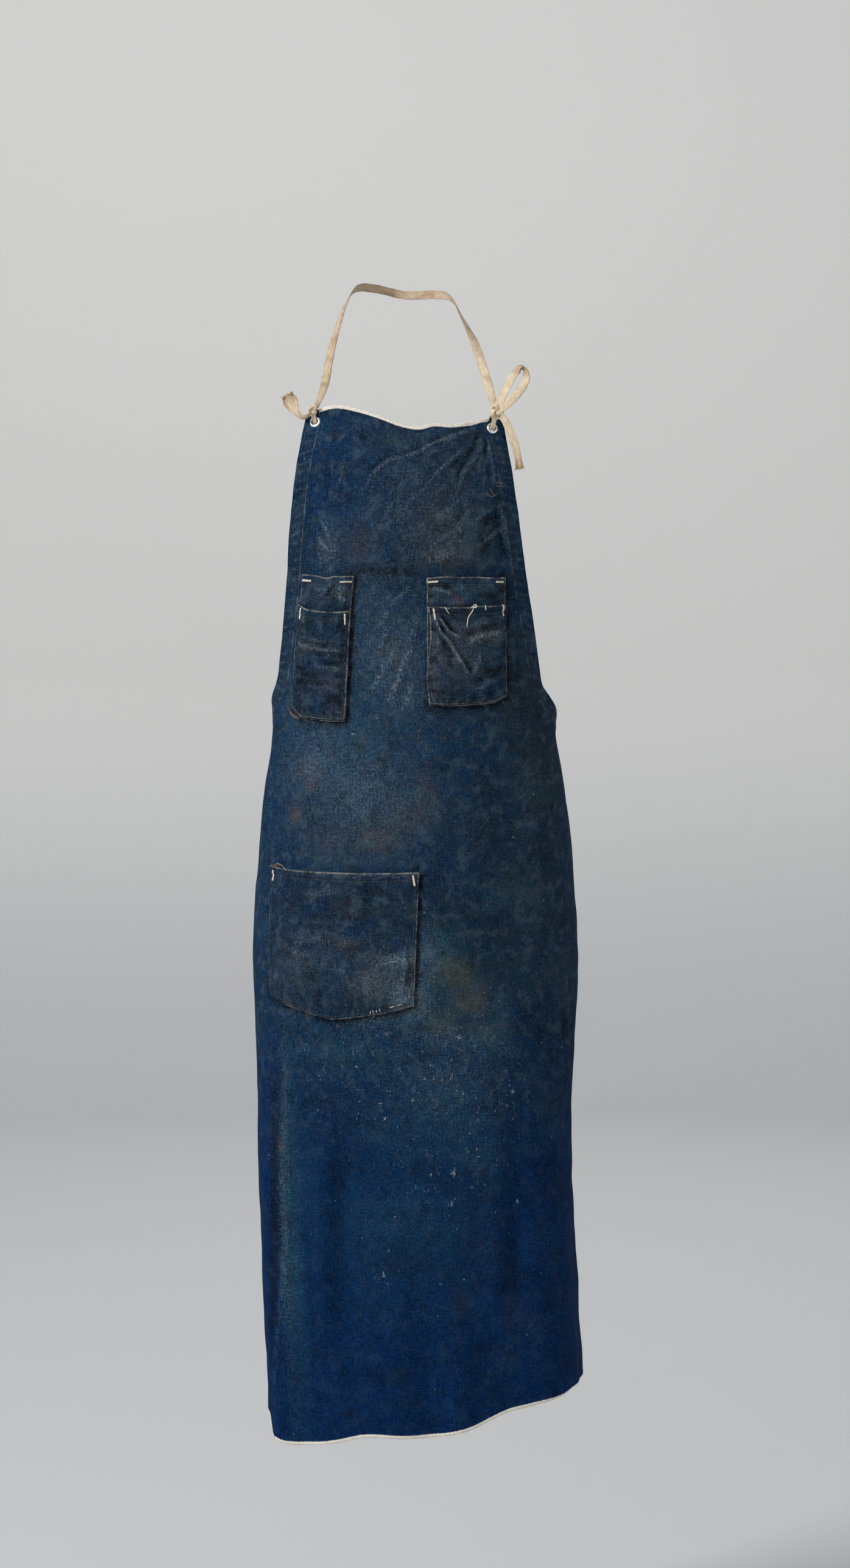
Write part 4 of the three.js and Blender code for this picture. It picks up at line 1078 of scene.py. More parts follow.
def apron_cloth():
    """The whole cloth as one closed wall on the worn form. Hems are double, roped between their
    stitches and raised along their inner fold; the selvedges are a little thicker and rolled."""
    s, z, there = punched(*cloth_places())
    cells = grid_of(there)
    s, z = s[there], z[there]
    routes = {side: armhole_route(side) for side in ("left", "right")}
    near = [off_route(s, z, route) for route in routes.values()]
    runs = np.array([share * np.hypot(*np.diff(route, axis=0).T).sum()
                     for (_, share), route in zip(near, routes.values())])
    gaps = np.abs(np.array([gap for gap, _ in near]))
    first = gaps.argmin(axis=0)[None]
    hem = np.take_along_axis(gaps, first, 0)[0]
    run = np.take_along_axis(runs, first, 0)[0]
    back = np.where(z < wing_top(s) + 1, HALF_WIDTH - np.abs(s), FAR)
    top_gap = np.where((np.abs(s) < 150) & (z > 200), curve_through(TOP_EDGE, s) - z, FAR)
    foot_gap = z - curve_through(FOOT_EDGE, s)

    folded = np.maximum(1 - smooth_step(BIB_HEM - 1.5, BIB_HEM + 0.5, hem),
                        1 - smooth_step(SIDE_HEM - 1.5, SIDE_HEM + 0.5, back))
    wander = ripples(s, z, 31, 8, 60, 120)
    rope = np.sin(2 * np.pi * (run + 0.35 * hem) / ROPE_PITCH + 1.6 * wander)
    rope *= ROPE_RISE * smooth_step(0, 4, hem) * (1 - smooth_step(15, 21, hem))
    seam = (0.55 * np.exp(-((hem - BIB_HEM) / 2.6) ** 2)
            - 0.45 * np.exp(-((hem - HEM_INSET) / 2.2) ** 2))
    rolled = 0.4 * np.exp(-(np.minimum(top_gap, foot_gap) / 3.0) ** 2)
    calm = eyelet_calm(s, z, 9, 16)
    # Band beside each pocket's right side and foot: it sinks the cloth a little, and a painted shadow
    # is laid on the colour there
    pocket_shadow_band = pocket_outlines(s, z)
    relief = (rope + seam + rolled) * calm - 0.9 * pocket_shadow_band

    outer = on_cloth(s, z, relief)
    thick = LAYER + FOLDED * folded
    inner = outer - cloth_out(s, z) * thick[:, None]
    points, faces, owner = rounded_wall(outer, inner, cells)

    crease, rub = crease_fields(s, z, CREASES, CLOTH_LINE)
    rub = rub + 0.32 * np.maximum(rope / ROPE_RISE, 0) ** 3 + spots(s, z, SCUFFS)
    # Painted shade: where the creases and the hem's roping dip, the colour is darkened
    painted_crease_shade = smooth_step(-0.1, -1.3, crease + 1.2 * rope)
    count = len(s)
    turned = np.zeros(len(points))
    turned[count:2 * count] = 1 - 0.999 * folded
    selvedge = np.where(top_gap < 100, top_gap - SELVEDGE_TOP, foot_gap - SELVEDGE_FOOT)
    selvedge = selvedge + np.where(top_gap < 100, 0, 2.4 * smooth_step(120, 190, s))
    selvedge = np.where(folded > 0.5, np.maximum(selvedge, 2.0), selvedge)
    uv = np.stack([s, z], axis=1)
    return make_mesh(
        "denim_cloth", points, faces, CLOTH_DENIM, uv[owner],
        dict(rub=rub[owner], speck=(0.75 * spots(s, z, SPECKLED) + 0.006)[owner],
             edge=hem[owner], reverse=turned, selvedge=np.minimum(selvedge, 50)[owner],
             cloud=(0.25 + 0.75 * smooth_step(*DEEP_LEVELS, z))[owner]),
        dict(dye_and_shade=cloth_dye_and_shade(s, z, painted_crease_shade, pocket_shadow_band)[owner]))


# Pockets

def crowded(count):
    """Shares from nought to one that lie closer together at both ends."""
    even = np.linspace(0, 1, count + 1)
    return even - CROWD_EDGES * np.sin(2 * np.pi * even) / (2 * np.pi)


def draw_in(drawn, p, q):
    """Shift to the right of a patch that is drawn in along its left side: most at that side."""
    return np.interp(q, drawn[:, 0], drawn[:, 1]) * (1 - p) ** 3


def patch_place(pocket, p, q, drawn=None):
    """Place of a patch's point on the cloth: straight between its corners, the mouth and the foot
    falling in the middle, the foot bowed or pointed and its corners cut, and one side drawn in
    where a table says."""
    bow = 4 * p * (1 - p)
    point = np.minimum(p / FOOT_POINT, (1 - p) / (1 - FOOT_POINT))
    sag = bow + (point - bow) * pocket["pointed"]
    corner = (pocket["corner_left"] * np.maximum(1 - p / PATCH_EDGE, 0)
              + pocket["corner_right"] * np.maximum(1 - (1 - p) / PATCH_EDGE, 0))
    (top_s, top_z), (end_s, end_z) = pocket["top_left"], pocket["top_right"]
    (low_s, low_z), (far_s, far_z) = pocket["foot_left"], pocket["foot_right"]
    mouth = top_z + (end_z - top_z) * p - pocket["mouth_fall"] * bow
    foot = low_z + (far_z - low_z) * p - pocket["foot_fall"] * sag + corner
    s = (top_s + (end_s - top_s) * p) * (1 - q) + (low_s + (far_s - low_s) * p) * q
    if drawn is not None:
        s = s + draw_in(drawn, p, q)
    return s, mouth * (1 - q) + foot * q


def patch_size(pocket):
    """Width and height of a patch in millimetres."""
    wide = np.hypot(pocket["top_right"][0] - pocket["top_left"][0],
                    pocket["top_right"][1] - pocket["top_left"][1])
    tall = pocket["top_left"][1] - pocket["foot_left"][1]
    return wide, tall


def patch_lift(pocket, p, q):
    """Height of a patch's inner face over the cloth: seated along its sewn edges, clear inside."""
    sides = smooth_step(0, PATCH_EDGE, np.minimum(p, 1 - p))
    foot = smooth_step(0, PATCH_EDGE, 1 - q)
    return LAP + pocket["swell"] * sides * foot


class Patch:
    """One patch of a pocket: its place, its relief and how high its outer face stands."""

    def __init__(self, pocket, start, stop, layer, creases, seed, lip, drawn=None, covered=2.0):
        self.pocket, self.start, self.stop, self.layer = pocket, start, stop, layer
        self.wide, self.tall = patch_size(pocket)
        self.creases = [([(p * self.wide, q * self.tall) for p, q in route], width, rise, rub)
                        for route, width, rise, rub in creases]
        self.seed, self.drawn, self.covered = seed, drawn, covered
        self.lip = np.array(lip, float)

    def edges(self, p, q):
        """Distance from the sewn edges and from the mouth."""
        sides = np.minimum(p, 1 - p) * self.wide
        foot = (self.stop - q) * self.tall
        return np.minimum(sides, foot), (q - self.start) * self.tall

    def faces(self, p, q):
        """Outer face, inner face, rub and depth of the creases at shares across and down. The
        turned edge is double, pressed down by its stitches and puckered along them, and the mouth
        has a turned lip that wavers. Under the patch on top of it a patch lies flat."""
        s, z = patch_place(self.pocket, p, q, self.drawn)
        fall = np.exp(-(q - self.start) * self.tall / LIP_RUN)
        z = z + np.interp(p, self.lip[:, 0], self.lip[:, 1]) * fall
        base = patch_lift(self.pocket, p, q)
        shift = 0 if self.drawn is None else draw_in(self.drawn, p, q) / self.wide
        below = patch_lift(self.pocket, np.clip(p + shift, 0, 1), q)
        under = below + self.layer * (PATCH_LAYER + base)
        sewn, mouth = self.edges(p, q)
        a, b = p * self.wide, q * self.tall
        rise, rub = crease_fields(a, b, self.creases, PATCH_LINE)
        dents = (0.7 * ripples(a, b, self.seed, 16, 12, 34)
                 + 0.7 * ripples(a, b, self.seed + 1, 10, 34, 90))
        free = smooth_step(0.5, 7, sewn)
        at_side = np.minimum(p, 1 - p) * self.wide < (self.stop - q) * self.tall
        along = np.where(at_side, b, a)
        ladder = np.sin(2 * np.pi * along / 6.0 + 1.6 * ripples(a, b, 77, 6, 30, 60))
        gathers = np.sin(2 * np.pi * along / 14.5 + 2.0 * ripples(a, b, 78, 6, 40, 80))
        pucker = (0.5 * ladder * np.exp(-np.maximum(sewn - 3, 0) / 4.0)
                  + 0.9 * gathers * np.exp(-np.maximum(sewn - 4, 0) / 10.0))
        pucker = pucker * self.pocket["pucker"] * smooth_step(0, 3, sewn)
        turned = 0.55 * (1 - smooth_step(3.6, 6.0, sewn))
        pressed = -0.55 * np.exp(-((sewn - SEAM_INSET) / 1.0) ** 2)
        band = (0.9 * (1 - smooth_step(5.0, 8.0, mouth))
                - 0.3 * np.exp(-((mouth - 8.0) / 1.4) ** 2))
        gape = 0.9 * np.exp(-mouth / 9) * ripples(a, b, self.seed + 2, 6, 22, 50) * free
        shown = 1 - smooth_step(-6, 1, (q - self.covered) * self.tall)
        turned, band = turned * shown, band * shown
        loose = (2.0 * rise + dents + 0.7) * free + pucker + pressed + gape
        relief = loose * shown + turned + band
        floor = -0.75 * (base - LAP) - 0.1
        relief = np.maximum(relief, floor)
        outer = under + PATCH_LAYER + relief
        inner = under + np.maximum(relief - turned - band, floor)
        return s, z, outer, inner, rub, 1.8 * rise + 0.7 * dents + 1.6 * pucker

    def line(self, p, q, lift=0.0):
        """Points on the outer face, lifted, and the outward direction there."""
        s, z, outer, _, _, _ = self.faces(p, q)
        return on_cloth(s, z, outer + lift), cloth_out(s, z)


PATCHES = {
    "pen_pocket_back": Patch(PEN_POCKET, 0.0, 1.0, 0, PEN_BACK_CREASES, 41, [
        (0, 1.6), (0.2, 1.4), (0.34, 0.6), (0.46, -1.6), (0.55, -1.4), (0.64, 0.4), (0.78, -0.4),
        (1, 0)], covered=FRONT_FROM),
    "pen_pocket_front": Patch(PEN_POCKET, FRONT_FROM, FRONT_TO, 1, PEN_FRONT_CREASES, 44, [
        (0, 2.6), (0.1, 2.0), (0.25, -0.6), (0.45, -1.6), (0.75, -2.2), (0.9, -2.0), (1, -1.6)]),
    "chest_pocket_back": Patch(CHEST_POCKET, 0.0, 1.0, 0, CHEST_BACK_CREASES, 47, [
        (0, -0.8), (0.1, 0.2), (0.25, 1.2), (0.4, 0.4), (0.6, 1.0), (0.8, 0.2), (1, 0.4)],
        covered=FRONT_FROM),
    "chest_pocket_front": Patch(CHEST_POCKET, FRONT_FROM, FRONT_TO, 1, CHEST_FRONT_CREASES, 50, [
        (0, 0.4), (0.15, 0.6), (0.22, -1.0), (0.3, 0.2), (0.5, -0.4), (0.6, 1.0), (0.75, 0.8),
        (1, 1.2)], CHEST_DRAWN),
    "hand_pocket": Patch(HAND_POCKET, 0.0, 1.0, 0, HAND_CREASES, 53, [
        (0, 2.0), (0.06, 1.0), (0.2, 0.4), (0.5, 0.6), (0.8, 0.2), (0.95, -0.4), (1, -1.0)]),
}


def pocket_patch(name, patch):
    """One patch as a closed wall that lies on the cloth or on the patch under it: even shares
    across and down, crowded towards its edges, lifted off the cloth by its two faces. Its dye is
    stained and faded in soft spots and dark along its seams, with painted shade in the hollows of its
    creases and puckers."""
    columns = int(patch.wide / PATCH_CELL)
    rows = int(patch.tall * (patch.stop - patch.start) / PATCH_CELL)
    p = crowded(columns)[None, :]
    q = (patch.start + (patch.stop - patch.start) * crowded(rows))[:, None]
    p, q = (grid.ravel() for grid in np.broadcast_arrays(p, q))
    s, z, lift, under, rub, crease = patch.faces(p, q)
    rub = rub + 0.3 * smooth_step(0.5, 1.9, crease) + spots(s, z, POCKET_SCUFFS)
    outer, inner = on_cloth(s, z, lift), on_cloth(s, z, under)
    points, faces, owner = rounded_wall(outer, inner, grid_cells(rows + 1, columns + 1))
    sewn, mouth = patch.edges(p, q)
    mottle = 0.5 + 0.3 * ripples(s, z, patch.seed + 3, 16, 14, 60)
    rugged = np.clip(0.5 + 0.6 * mottle, 0.3, 1.2)
    dye_and_shade = tinted(POCKET_INDIGO, [
        (EARTH, spots(s, z, POCKET_EARTHS) * rugged),
        (FADED, spots(s, z, POCKET_FADES) * rugged),
        (OIL, spots(s, z, POCKET_OILS) * rugged),
        (RUST, spots(s, z, POCKET_RUSTS)),
        (DEEP_INDIGO, 0.3 * smooth_step(0.5, 1.0, mottle)),
        (OIL, 0.2 * smooth_step(0.45, 0.0, mottle)),
        (OIL, 0.4 * np.exp(-((sewn - SEAM_INSET) / 1.3) ** 2)),
        # painted shade in the troughs of the patch's creases and puckers
        (PAINTED_SHADE, 0.85 * patch.pocket["pucker"] * smooth_step(-0.1, -1.6, crease)),
    ])
    turned = np.zeros(len(points))
    turned[len(s):2 * len(s)] = 1
    uv = np.stack([s + 900 + 40 * patch.seed, z], axis=1)
    return make_mesh(
        name, points, faces, PATCH_DENIM, uv[owner],
        dict(rub=rub[owner], speck=(0.5 * spots(s, z, SPECKLED) + 0.01)[owner],
             edge=np.minimum(sewn + 0.2, mouth)[owner], reverse=turned, cloud=np.ones(len(points))),
        dict(dye_and_shade=dye_and_shade[owner]))


# Sewing

def capsules(start, end, out, radius, arch, seed):
    """Short threads: a six-sided tube from each start to its end, bowed outwards by the arch and
    tapered at both tips. Gives points, faces and a tone for each thread."""
    shares = np.array([0.0, 0.16, 0.5, 0.84, 1.0])
    girth = np.array([0.35, 0.95, 1.0, 0.95, 0.35])
    rise = np.array([-0.6, 0.35, 1.0, 0.35, -0.6])
    sides = 6
    turn = full_turn(sides)
    way = end - start
    across = unit(np.cross(out, way))
    middle = (start[:, None] + way[:, None] * shares[:, None]
              + out[:, None] * (arch * rise)[:, None])
    ring = (across[:, None, None] * np.cos(turn)[:, None]
            + out[:, None, None] * np.sin(turn)[:, None])
    points = middle[:, :, None] + ring * (radius * girth)[:, None, None]
    count = len(start)
    rings = len(shares)
    cells = grid_cells(rings, sides, wrap_columns=True)[:, ::-1]
    offset = (np.arange(count) * rings * sides)[:, None, None]
    tube = (cells[None] + offset).reshape(-1, 4)
    ends = np.stack([np.arange(sides)[::-1], (rings - 1) * sides + np.arange(sides)])
    caps = (ends[None] + offset).reshape(-1, sides)
    rng = np.random.default_rng(seed)
    tone = np.repeat(rng.uniform(0, 1, count), rings * sides)
    return points.reshape(-1, 3), tube, caps, tone


def thread_piece(name, groups, material, slot):
    """One piece from several groups of threads."""
    points, tubes, caps, tones, passed = [], [], [], [], 0
    for group_points, tube, cap, tone in groups:
        points.append(group_points)
        tubes.append(tube + passed)
        caps.append(cap + passed)
        tones.append(tone)
        passed += len(group_points)
    piece = make_mesh(name, np.concatenate(points), [np.concatenate(tubes), np.concatenate(caps)],
                      material, None, dict(tone=np.concatenate(tones)))
    return settle(piece, slot)


# Stitches: how far apart, how long and how thick
HEM_STITCH = dict(pitch=3.6, length=2.6, radius=0.3)
SEAM_STITCH = dict(pitch=3.2, length=2.3, radius=0.28)
MOUTH_STITCH = dict(pitch=3.2, length=2.3, radius=0.26)
MOUTH_INSET = 7.6
LINE_STEPS = 160


def stitches(line, out, seed, pitch, length, radius):
    """Running stitches along a line: at every pitch one thread of a given length."""
    run = run_along(line)
    begin = np.arange(pitch / 2, run[-1] - length, pitch)
    rng = np.random.default_rng(seed)
    begin = begin + rng.uniform(-0.12, 0.12, len(begin)) * pitch

    def at(lengths, values):
        """Values of the line at given distances along it."""
        return np.stack([np.interp(lengths, run, values[:, axis]) for axis in range(3)], axis=1)

    return capsules(at(begin, line), at(begin + length, line), at(begin, out), radius, 0.22, seed)


def cloth_line(s, z, lift):
    """Line on the cloth's outer face and its outward direction."""
    return on_cloth(s, z, lift), cloth_out(s, z)


def inset_route(side, inset):
    """The hemmed edge of one side, moved in by the inset."""
    route = armhole_route(side)
    way = unit(np.gradient(route, axis=0))
    sign = 1 if side == "left" else -1
    return route + inset * sign * np.stack([-way[:, 1], way[:, 0]], axis=1)


def hem_sewing():
    """Stitches along the bib's sides, the armholes, the wings and the back edges, outside and in."""
    groups = []

    def sew(s, z, outside, seed):
        """One line of stitches on the outer face and one on the inner."""
        for lift, step in ((outside, 0), (HEM_BACK, 10)):
            groups.append(stitches(*cloth_line(s, z, lift), seed + step, **HEM_STITCH))

    for side, seed in (("left", 61), ("right", 62)):
        route = inset_route(side, HEM_INSET)
        keep = (route[:, 1] < BIB_TOP - 22) & (np.abs(route[:, 0]) < HALF_WIDTH - 6)
        fine = np.linspace(0, 1, 600)
        share = np.linspace(0, 1, keep.sum())
        s = np.interp(fine, share, route[keep, 0])
        z = np.interp(fine, share, route[keep, 1])
        sew(s, z, -0.05, seed)
        sign = -1 if side == "left" else 1
        z = np.linspace(WING_TOP - 4, FOOT_EDGE[0 if side == "left" else -1, 1] + 6, 500)
        s = np.full(len(z), sign * (HALF_WIDTH - SIDE_HEM + 3))
        sew(s, z, 0.1, seed + 20)
    return thread_piece("hem_stitches", groups, HEM_THREAD, "denim")


def patch_outline(patch, inset):
    """Sewn line of a patch: down one side, along the foot and up the other."""
    left, low = inset / patch.wide, inset / patch.tall
    even = np.linspace(0, 1, LINE_STEPS)
    same = np.ones(LINE_STEPS)
    top, foot = patch.start + low, patch.stop - low
    p = np.concatenate([left * same, left + (1 - 2 * left) * even, (1 - left) * same])
    q = np.concatenate([top + (foot - top) * even, foot * same, foot + (top - foot) * even])
    return p, q


def pocket_sewing():
    """Stitches round every patch and along the band of every mouth."""
    groups = []
    for seed, patch in enumerate(PATCHES.values(), 71):
        p, q = patch_outline(patch, SEAM_INSET)
        groups.append(stitches(*patch.line(p, q, 0.05), seed, **SEAM_STITCH))
        over = np.linspace(0.03, 0.97, LINE_STEPS)
        down = np.full(LINE_STEPS, patch.start + MOUTH_INSET / patch.tall)
        groups.append(stitches(*patch.line(over, down, 0.05), seed + 10, **MOUTH_STITCH))
        if patch.layer == 0:
            behind = cloth_line(*patch_place(patch.pocket, p, q), -LAYER - 0.15)
            groups.append(stitches(*behind, seed + 20, **SEAM_STITCH))
    return thread_piece("pocket_stitches", groups, SEAM_THREAD, "pocket_denim")


# Bar tacks: patch, shares across and down of both ends
TACKS = [
    ("pen_pocket_back", (0.025, 0.035), (0.215, 0.035)),
    ("pen_pocket_back", (0.79, 0.035), (0.985, 0.035)),
    ("pen_pocket_front", (0.085, 0.245), (0.085, 0.315)),
    ("pen_pocket_front", (0.93, 0.25), (0.93, 0.325)),
    ("chest_pocket_back", (0.01, 0.03), (0.125, 0.03)),
    ("chest_pocket_back", (0.86, 0.03), (0.975, 0.03)),
    ("chest_pocket_front", (0.06, 0.245), (0.06, 0.325)),
    ("chest_pocket_front", (0.955, 0.24), (0.955, 0.315)),
    ("hand_pocket", (0.035, 0.025), (0.033, 0.1)),
    ("hand_pocket", (0.968, 0.018), (0.98, 0.095)),
]
TACK_STITCHES = 20
TACK_HALF_WIDTH = 1.15


def bar_tacks():
    """Bar tacks: at even steps along a short bar one stitch across it, a little aslant."""
    groups = []
    for seed, (name, first, last) in enumerate(TACKS, 91):
        share = np.linspace(0, 1, TACK_STITCHES)
        p = first[0] + (last[0] - first[0]) * share
        q = first[1] + (last[1] - first[1]) * share
        middle, out = PATCHES[name].line(p, q, 0.35)
        way = unit(middle[-1] - middle[0])
        across = np.cross(out, way)
        rng = np.random.default_rng(seed)
        half = TACK_HALF_WIDTH * rng.uniform(0.85, 1.15, (TACK_STITCHES, 1))
        lean = way * 0.35
        groups.append(capsules(middle - across * half - lean, middle + across * half + lean,
                               out, 0.42, 0.3, seed))
    return thread_piece("bar_tacks", groups, TACK_THREAD, "cotton_tape")


def spline(points, count, closed=False):
    """Smooth curve through points, with tangents that follow the square root of their spacing,
    measured off evenly. A closed curve runs on into its own start."""
    if closed:
        ends = np.concatenate([points[-1:], points, points[:2]])
        points = np.concatenate([points, points[:1]])
    else:
        ends = np.concatenate([[2 * points[0] - points[1]], points,
                               [2 * points[-1] - points[-2]]])
    gaps = np.sqrt(np.maximum(np.linalg.norm(np.diff(ends, axis=0), axis=1), 1e-6))[:, None]
    before, here, after = gaps[:-2], gaps[1:-1], gaps[2:]
    p0, p1, p2, p3 = ends[:-3], ends[1:-2], ends[2:-1], ends[3:]
    lean_1 = ((p1 - p0) / before - (p2 - p0) / (before + here) + (p2 - p1) / here) * here
    lean_2 = ((p2 - p1) / here - (p3 - p1) / (here + after) + (p3 - p2) / after) * here
    t = np.linspace(0, 1, 24, endpoint=False)[:, None, None]
    curve = ((2 * t ** 3 - 3 * t ** 2 + 1) * p1 + (t ** 3 - 2 * t ** 2 + t) * lean_1
             + (3 * t ** 2 - 2 * t ** 3) * p2 + (t ** 3 - t ** 2) * lean_2)
    curve = np.concatenate([curve.transpose(1, 0, 2).reshape(-1, points.shape[1]), points[-1:]])
    run = run_along(curve[:, :3])
    even = np.linspace(0, run[-1], count, endpoint=not closed)
    return np.stack([np.interp(even, run, column) for column in curve.T], axis=1)


def round_threads(paths, radius, seed, sides=6, steps=14):
    """Loose threads: a thin tube along each smooth path, drawn out to a point at both ends."""
    groups = []
    for number, path in enumerate(paths):
        middle = spline(np.array(path, float), steps)
        tangent = unit(np.gradient(middle, axis=0))
        side = unit(np.cross(tangent, np.array([0.13, -0.92, 0.36])))
        up = np.cross(side, tangent)
        turn = full_turn(sides)
        share = np.linspace(0, 1, steps)
        girth = radius * np.minimum(1, 0.4 + 3 * np.minimum(share, 1 - share))
        points = middle[:, None] + girth[:, None, None] * (
            side[:, None] * np.cos(turn)[:, None] + up[:, None] * np.sin(turn)[:, None])
        tube = grid_cells(steps, sides, wrap_columns=True)
        caps = np.stack([np.arange(sides), (steps - 1) * sides + np.arange(sides)[::-1]])
        rng = np.random.default_rng(seed + number)
        tone = np.full(steps * sides, rng.uniform(0.2, 1))
        groups.append((points.reshape(-1, 3), tube, caps, tone))
    return groups


# Tufts of bared white thread: s, z and size
TUFTS = [
    (53, -378, 7), (47, -534, 9), (-32, -472, 6), (0, -450, 6), (-37, -454, 5), (-40, -652, 7),
    (123, -570, 6), (-65, -412, 5), (43, -570, 6), (-71, -28, 5), (20, -536, 5),
    (11, -394, 3), (20, -410, 3), (45, -404, 4), (59, -444, 4), (111, -458, 4), (96, -464, 3),
    (76, -474, 3), (66, -490, 3), (114, -436, 3), (194, -396, 3), (158, -388, 3), (-45, -354, 4),
    (-30, -374, 3), (-69, -396, 3), (-23, -584, 4), (74, -508, 3), (-108, -428, 3),
    (-111, -464, 3), (-61, -452, 3), (-32, -624, 4), (53, -658, 3), (26, -662, 3), (40, 278, 3),
    (61, 206, 3), (-41, 212, 3), (60, 194, 3), (155, -222, 3), (118, -148, 3), (145, -98, 3),
    (11, -234, 3), (14, -426, 4), (24, -426, 4), (34, -427, 4), (44, -426, 4),
]
THREADS_PER_SIZE = 1.7


def tufts():
    """Tufts: a few short threads round each place, most of them along the warp or the weft."""
    rng = np.random.default_rng(201)
    rows = np.array(TUFTS, float)
    rows = np.repeat(rows, np.ceil(rows[:, 2] * THREADS_PER_SIZE).astype(int), axis=0)
    count = len(rows)
    s = rows[:, 0] + rng.normal(0, 0.2, count) * rows[:, 2]
    z = rows[:, 1] + rng.normal(0, 0.24, count) * rows[:, 2]
    warp = rng.uniform(0, 1, count) < 0.6
    s = np.where(warp, rows[:, 0] + (s - rows[:, 0]) * 0.4, s)
    z = np.where(warp, z, rows[:, 1] + (z - rows[:, 1]) * 0.4)
    turn = np.where(warp, np.pi / 2, 0) + rng.normal(0, 0.2, count)
    half = rows[:, 2] * rng.uniform(0.09, 0.22, count)
    step_s, step_z = half * np.cos(turn), half * np.sin(turn)
    start = on_cloth(s - step_s, z - step_z, 0.12)
    end = on_cloth(s + step_s, z + step_z, 0.12)
    groups = [capsules(start, end, cloth_out(s, z), 0.18, 0.14, 202)]
    return thread_piece("bared_threads", groups, WORN_THREAD, "denim")


# Loose threads on the chest pocket's lower mouth, as shares across and down, with a lift
POCKET_THREADS = [
    [(0.2, 0.222, 0.5), (0.22, 0.25, 1.0), (0.25, 0.28, 0.7)],
    [(0.56, 0.222, 0.8), (0.54, 0.26, 1.4), (0.49, 0.31, 1.4), (0.465, 0.39, 0.8)],
    [(0.52, 0.226, 0.6), (0.56, 0.236, 1.6), (0.6, 0.224, 0.6)],
    [(0.54, 0.222, 0.8), (0.56, 0.232, 2.0), (0.585, 0.222, 1.9), (0.57, 0.214, 1.4),
     (0.545, 0.224, 1.5)],
    [(0.55, 0.23, 1.0), (0.575, 0.24, 2.2), (0.59, 0.23, 2.0), (0.575, 0.22, 1.8)],
    [(0.7, 0.222, 0.5), (0.71, 0.262, 0.9)],
    [(0.93, 0.225, 0.5), (0.945, 0.25, 1.0), (0.93, 0.28, 0.6)],
]
# Loose threads on the cloth: s, z and lift
HEM_REPAIRS = [
    [(103, 260, 0.4), (111, 258, 0.9), (119, 260, 0.4)],
    [(92, 250, 0.4), (98, 246, 0.9), (107, 250, 0.4)],
    [(104, 263, 0.4), (110, 262, 0.8), (117, 263, 0.4)],
    [(97, 256, 0.4), (100, 250, 0.8), (104, 246, 0.4)],
]
# Frayed corners of the pockets: a middle thread as s, z and lift, how many, and their radius
FRAYS = [
    ([(-184, -191, 1.6), (-179, -183, 2.8), (-171, -180, 3.2), (-163, -182, 2.8), (-157, -187, 1.8)],
     8, 0.26),
    ([(-154, -1, 2.4), (-149, -6, 2.8), (-141, -11, 2.4)], 4, 0.22),
    ([(-155, 4, 2.2), (-153, -3, 2.9), (-146, -9, 2.6)], 3, 0.2),
]
# White stitches left at the hand pocket's foot, as shares across and down
BARED_STITCHES = [((0.728, 0.972), (0.73, 0.992)), ((0.742, 0.966), (0.75, 0.994)),
                  ((0.766, 0.97), (0.768, 0.99)), ((0.785, 0.964), (0.79, 0.986)),
                  ((0.85, 0.97), (0.88, 0.968)), ((0.9, 0.968), (0.925, 0.966))]


def cloth_paths(rows):
    """Paths on the cloth from places and lifts."""
    return [on_cloth(*np.array(row, float).T) for row in rows]


def loose_threads():
    """Loose ends at the chest pocket's mouth, bared stitches, darning at the hem, and frayed
    corners, where many threads run about the same way."""
    patch = PATCHES["chest_pocket_front"]
    ends = [patch.line(*np.array(row, float).T)[0] for row in POCKET_THREADS]
    (start, out), (end, _) = (PATCHES["hand_pocket"].line(*np.array(places).T, 0.2)
                              for places in zip(*BARED_STITCHES))
    thread_piece("loose_threads", round_threads(ends, 0.5, 211)
                 + [capsules(start, end, out, 0.4, 0.3, 215)], TACK_THREAD, "cotton_tape")
    rng = np.random.default_rng(231)
    groups = round_threads(cloth_paths(HEM_REPAIRS), 0.3, 221)
    for middle, count, radius in FRAYS:
        stray = rng.normal(0, 1, (count, len(middle), 3)) * (1.1, 1.0, 0.5)
        threads = np.array(middle, float) + stray
        groups += round_threads(cloth_paths(threads), radius, 241)
    thread_piece("rusty_threads", groups, RUST_THREAD, "cotton_tape")


# Eyelets

# Section of the pressed ring, from the bore over the face, down the barrel and round the back
RING_SECTION = np.array([
    (4.0, 0.0), (4.0, 1.2), (4.12, 1.95), (4.5, 2.45), (5.1, 2.62), (5.8, 2.42), (6.35, 1.95),
    (6.62, 1.42), (6.5, 1.16), (5.6, 1.16), (4.7, 1.1), (4.48, 0.5), (4.48, -0.5), (4.7, -1.02),
    (5.6, -1.1), (6.4, -1.12), (6.6, -1.42), (6.2, -1.9), (5.3, -2.2), (4.5, -2.0), (4.05, -1.4),
])
RING_STEPS = 72
RING_PETALS = 8


def eyelet_axes(s, z):
    """Middle of an eyelet in the cloth's thickness, and its axes across, up and out."""
    middle = on_cloth(s, z, -EYELET_WALL / 2)
    across = unit(on_cloth(s + 2.0, z, 0.0) - on_cloth(s - 2.0, z, 0.0))
    up = on_cloth(s, z + 2.0, 0.0) - on_cloth(s, z - 2.0, 0.0)
    out = unit(np.cross(across, up))
    return middle, across, np.cross(out, across), out


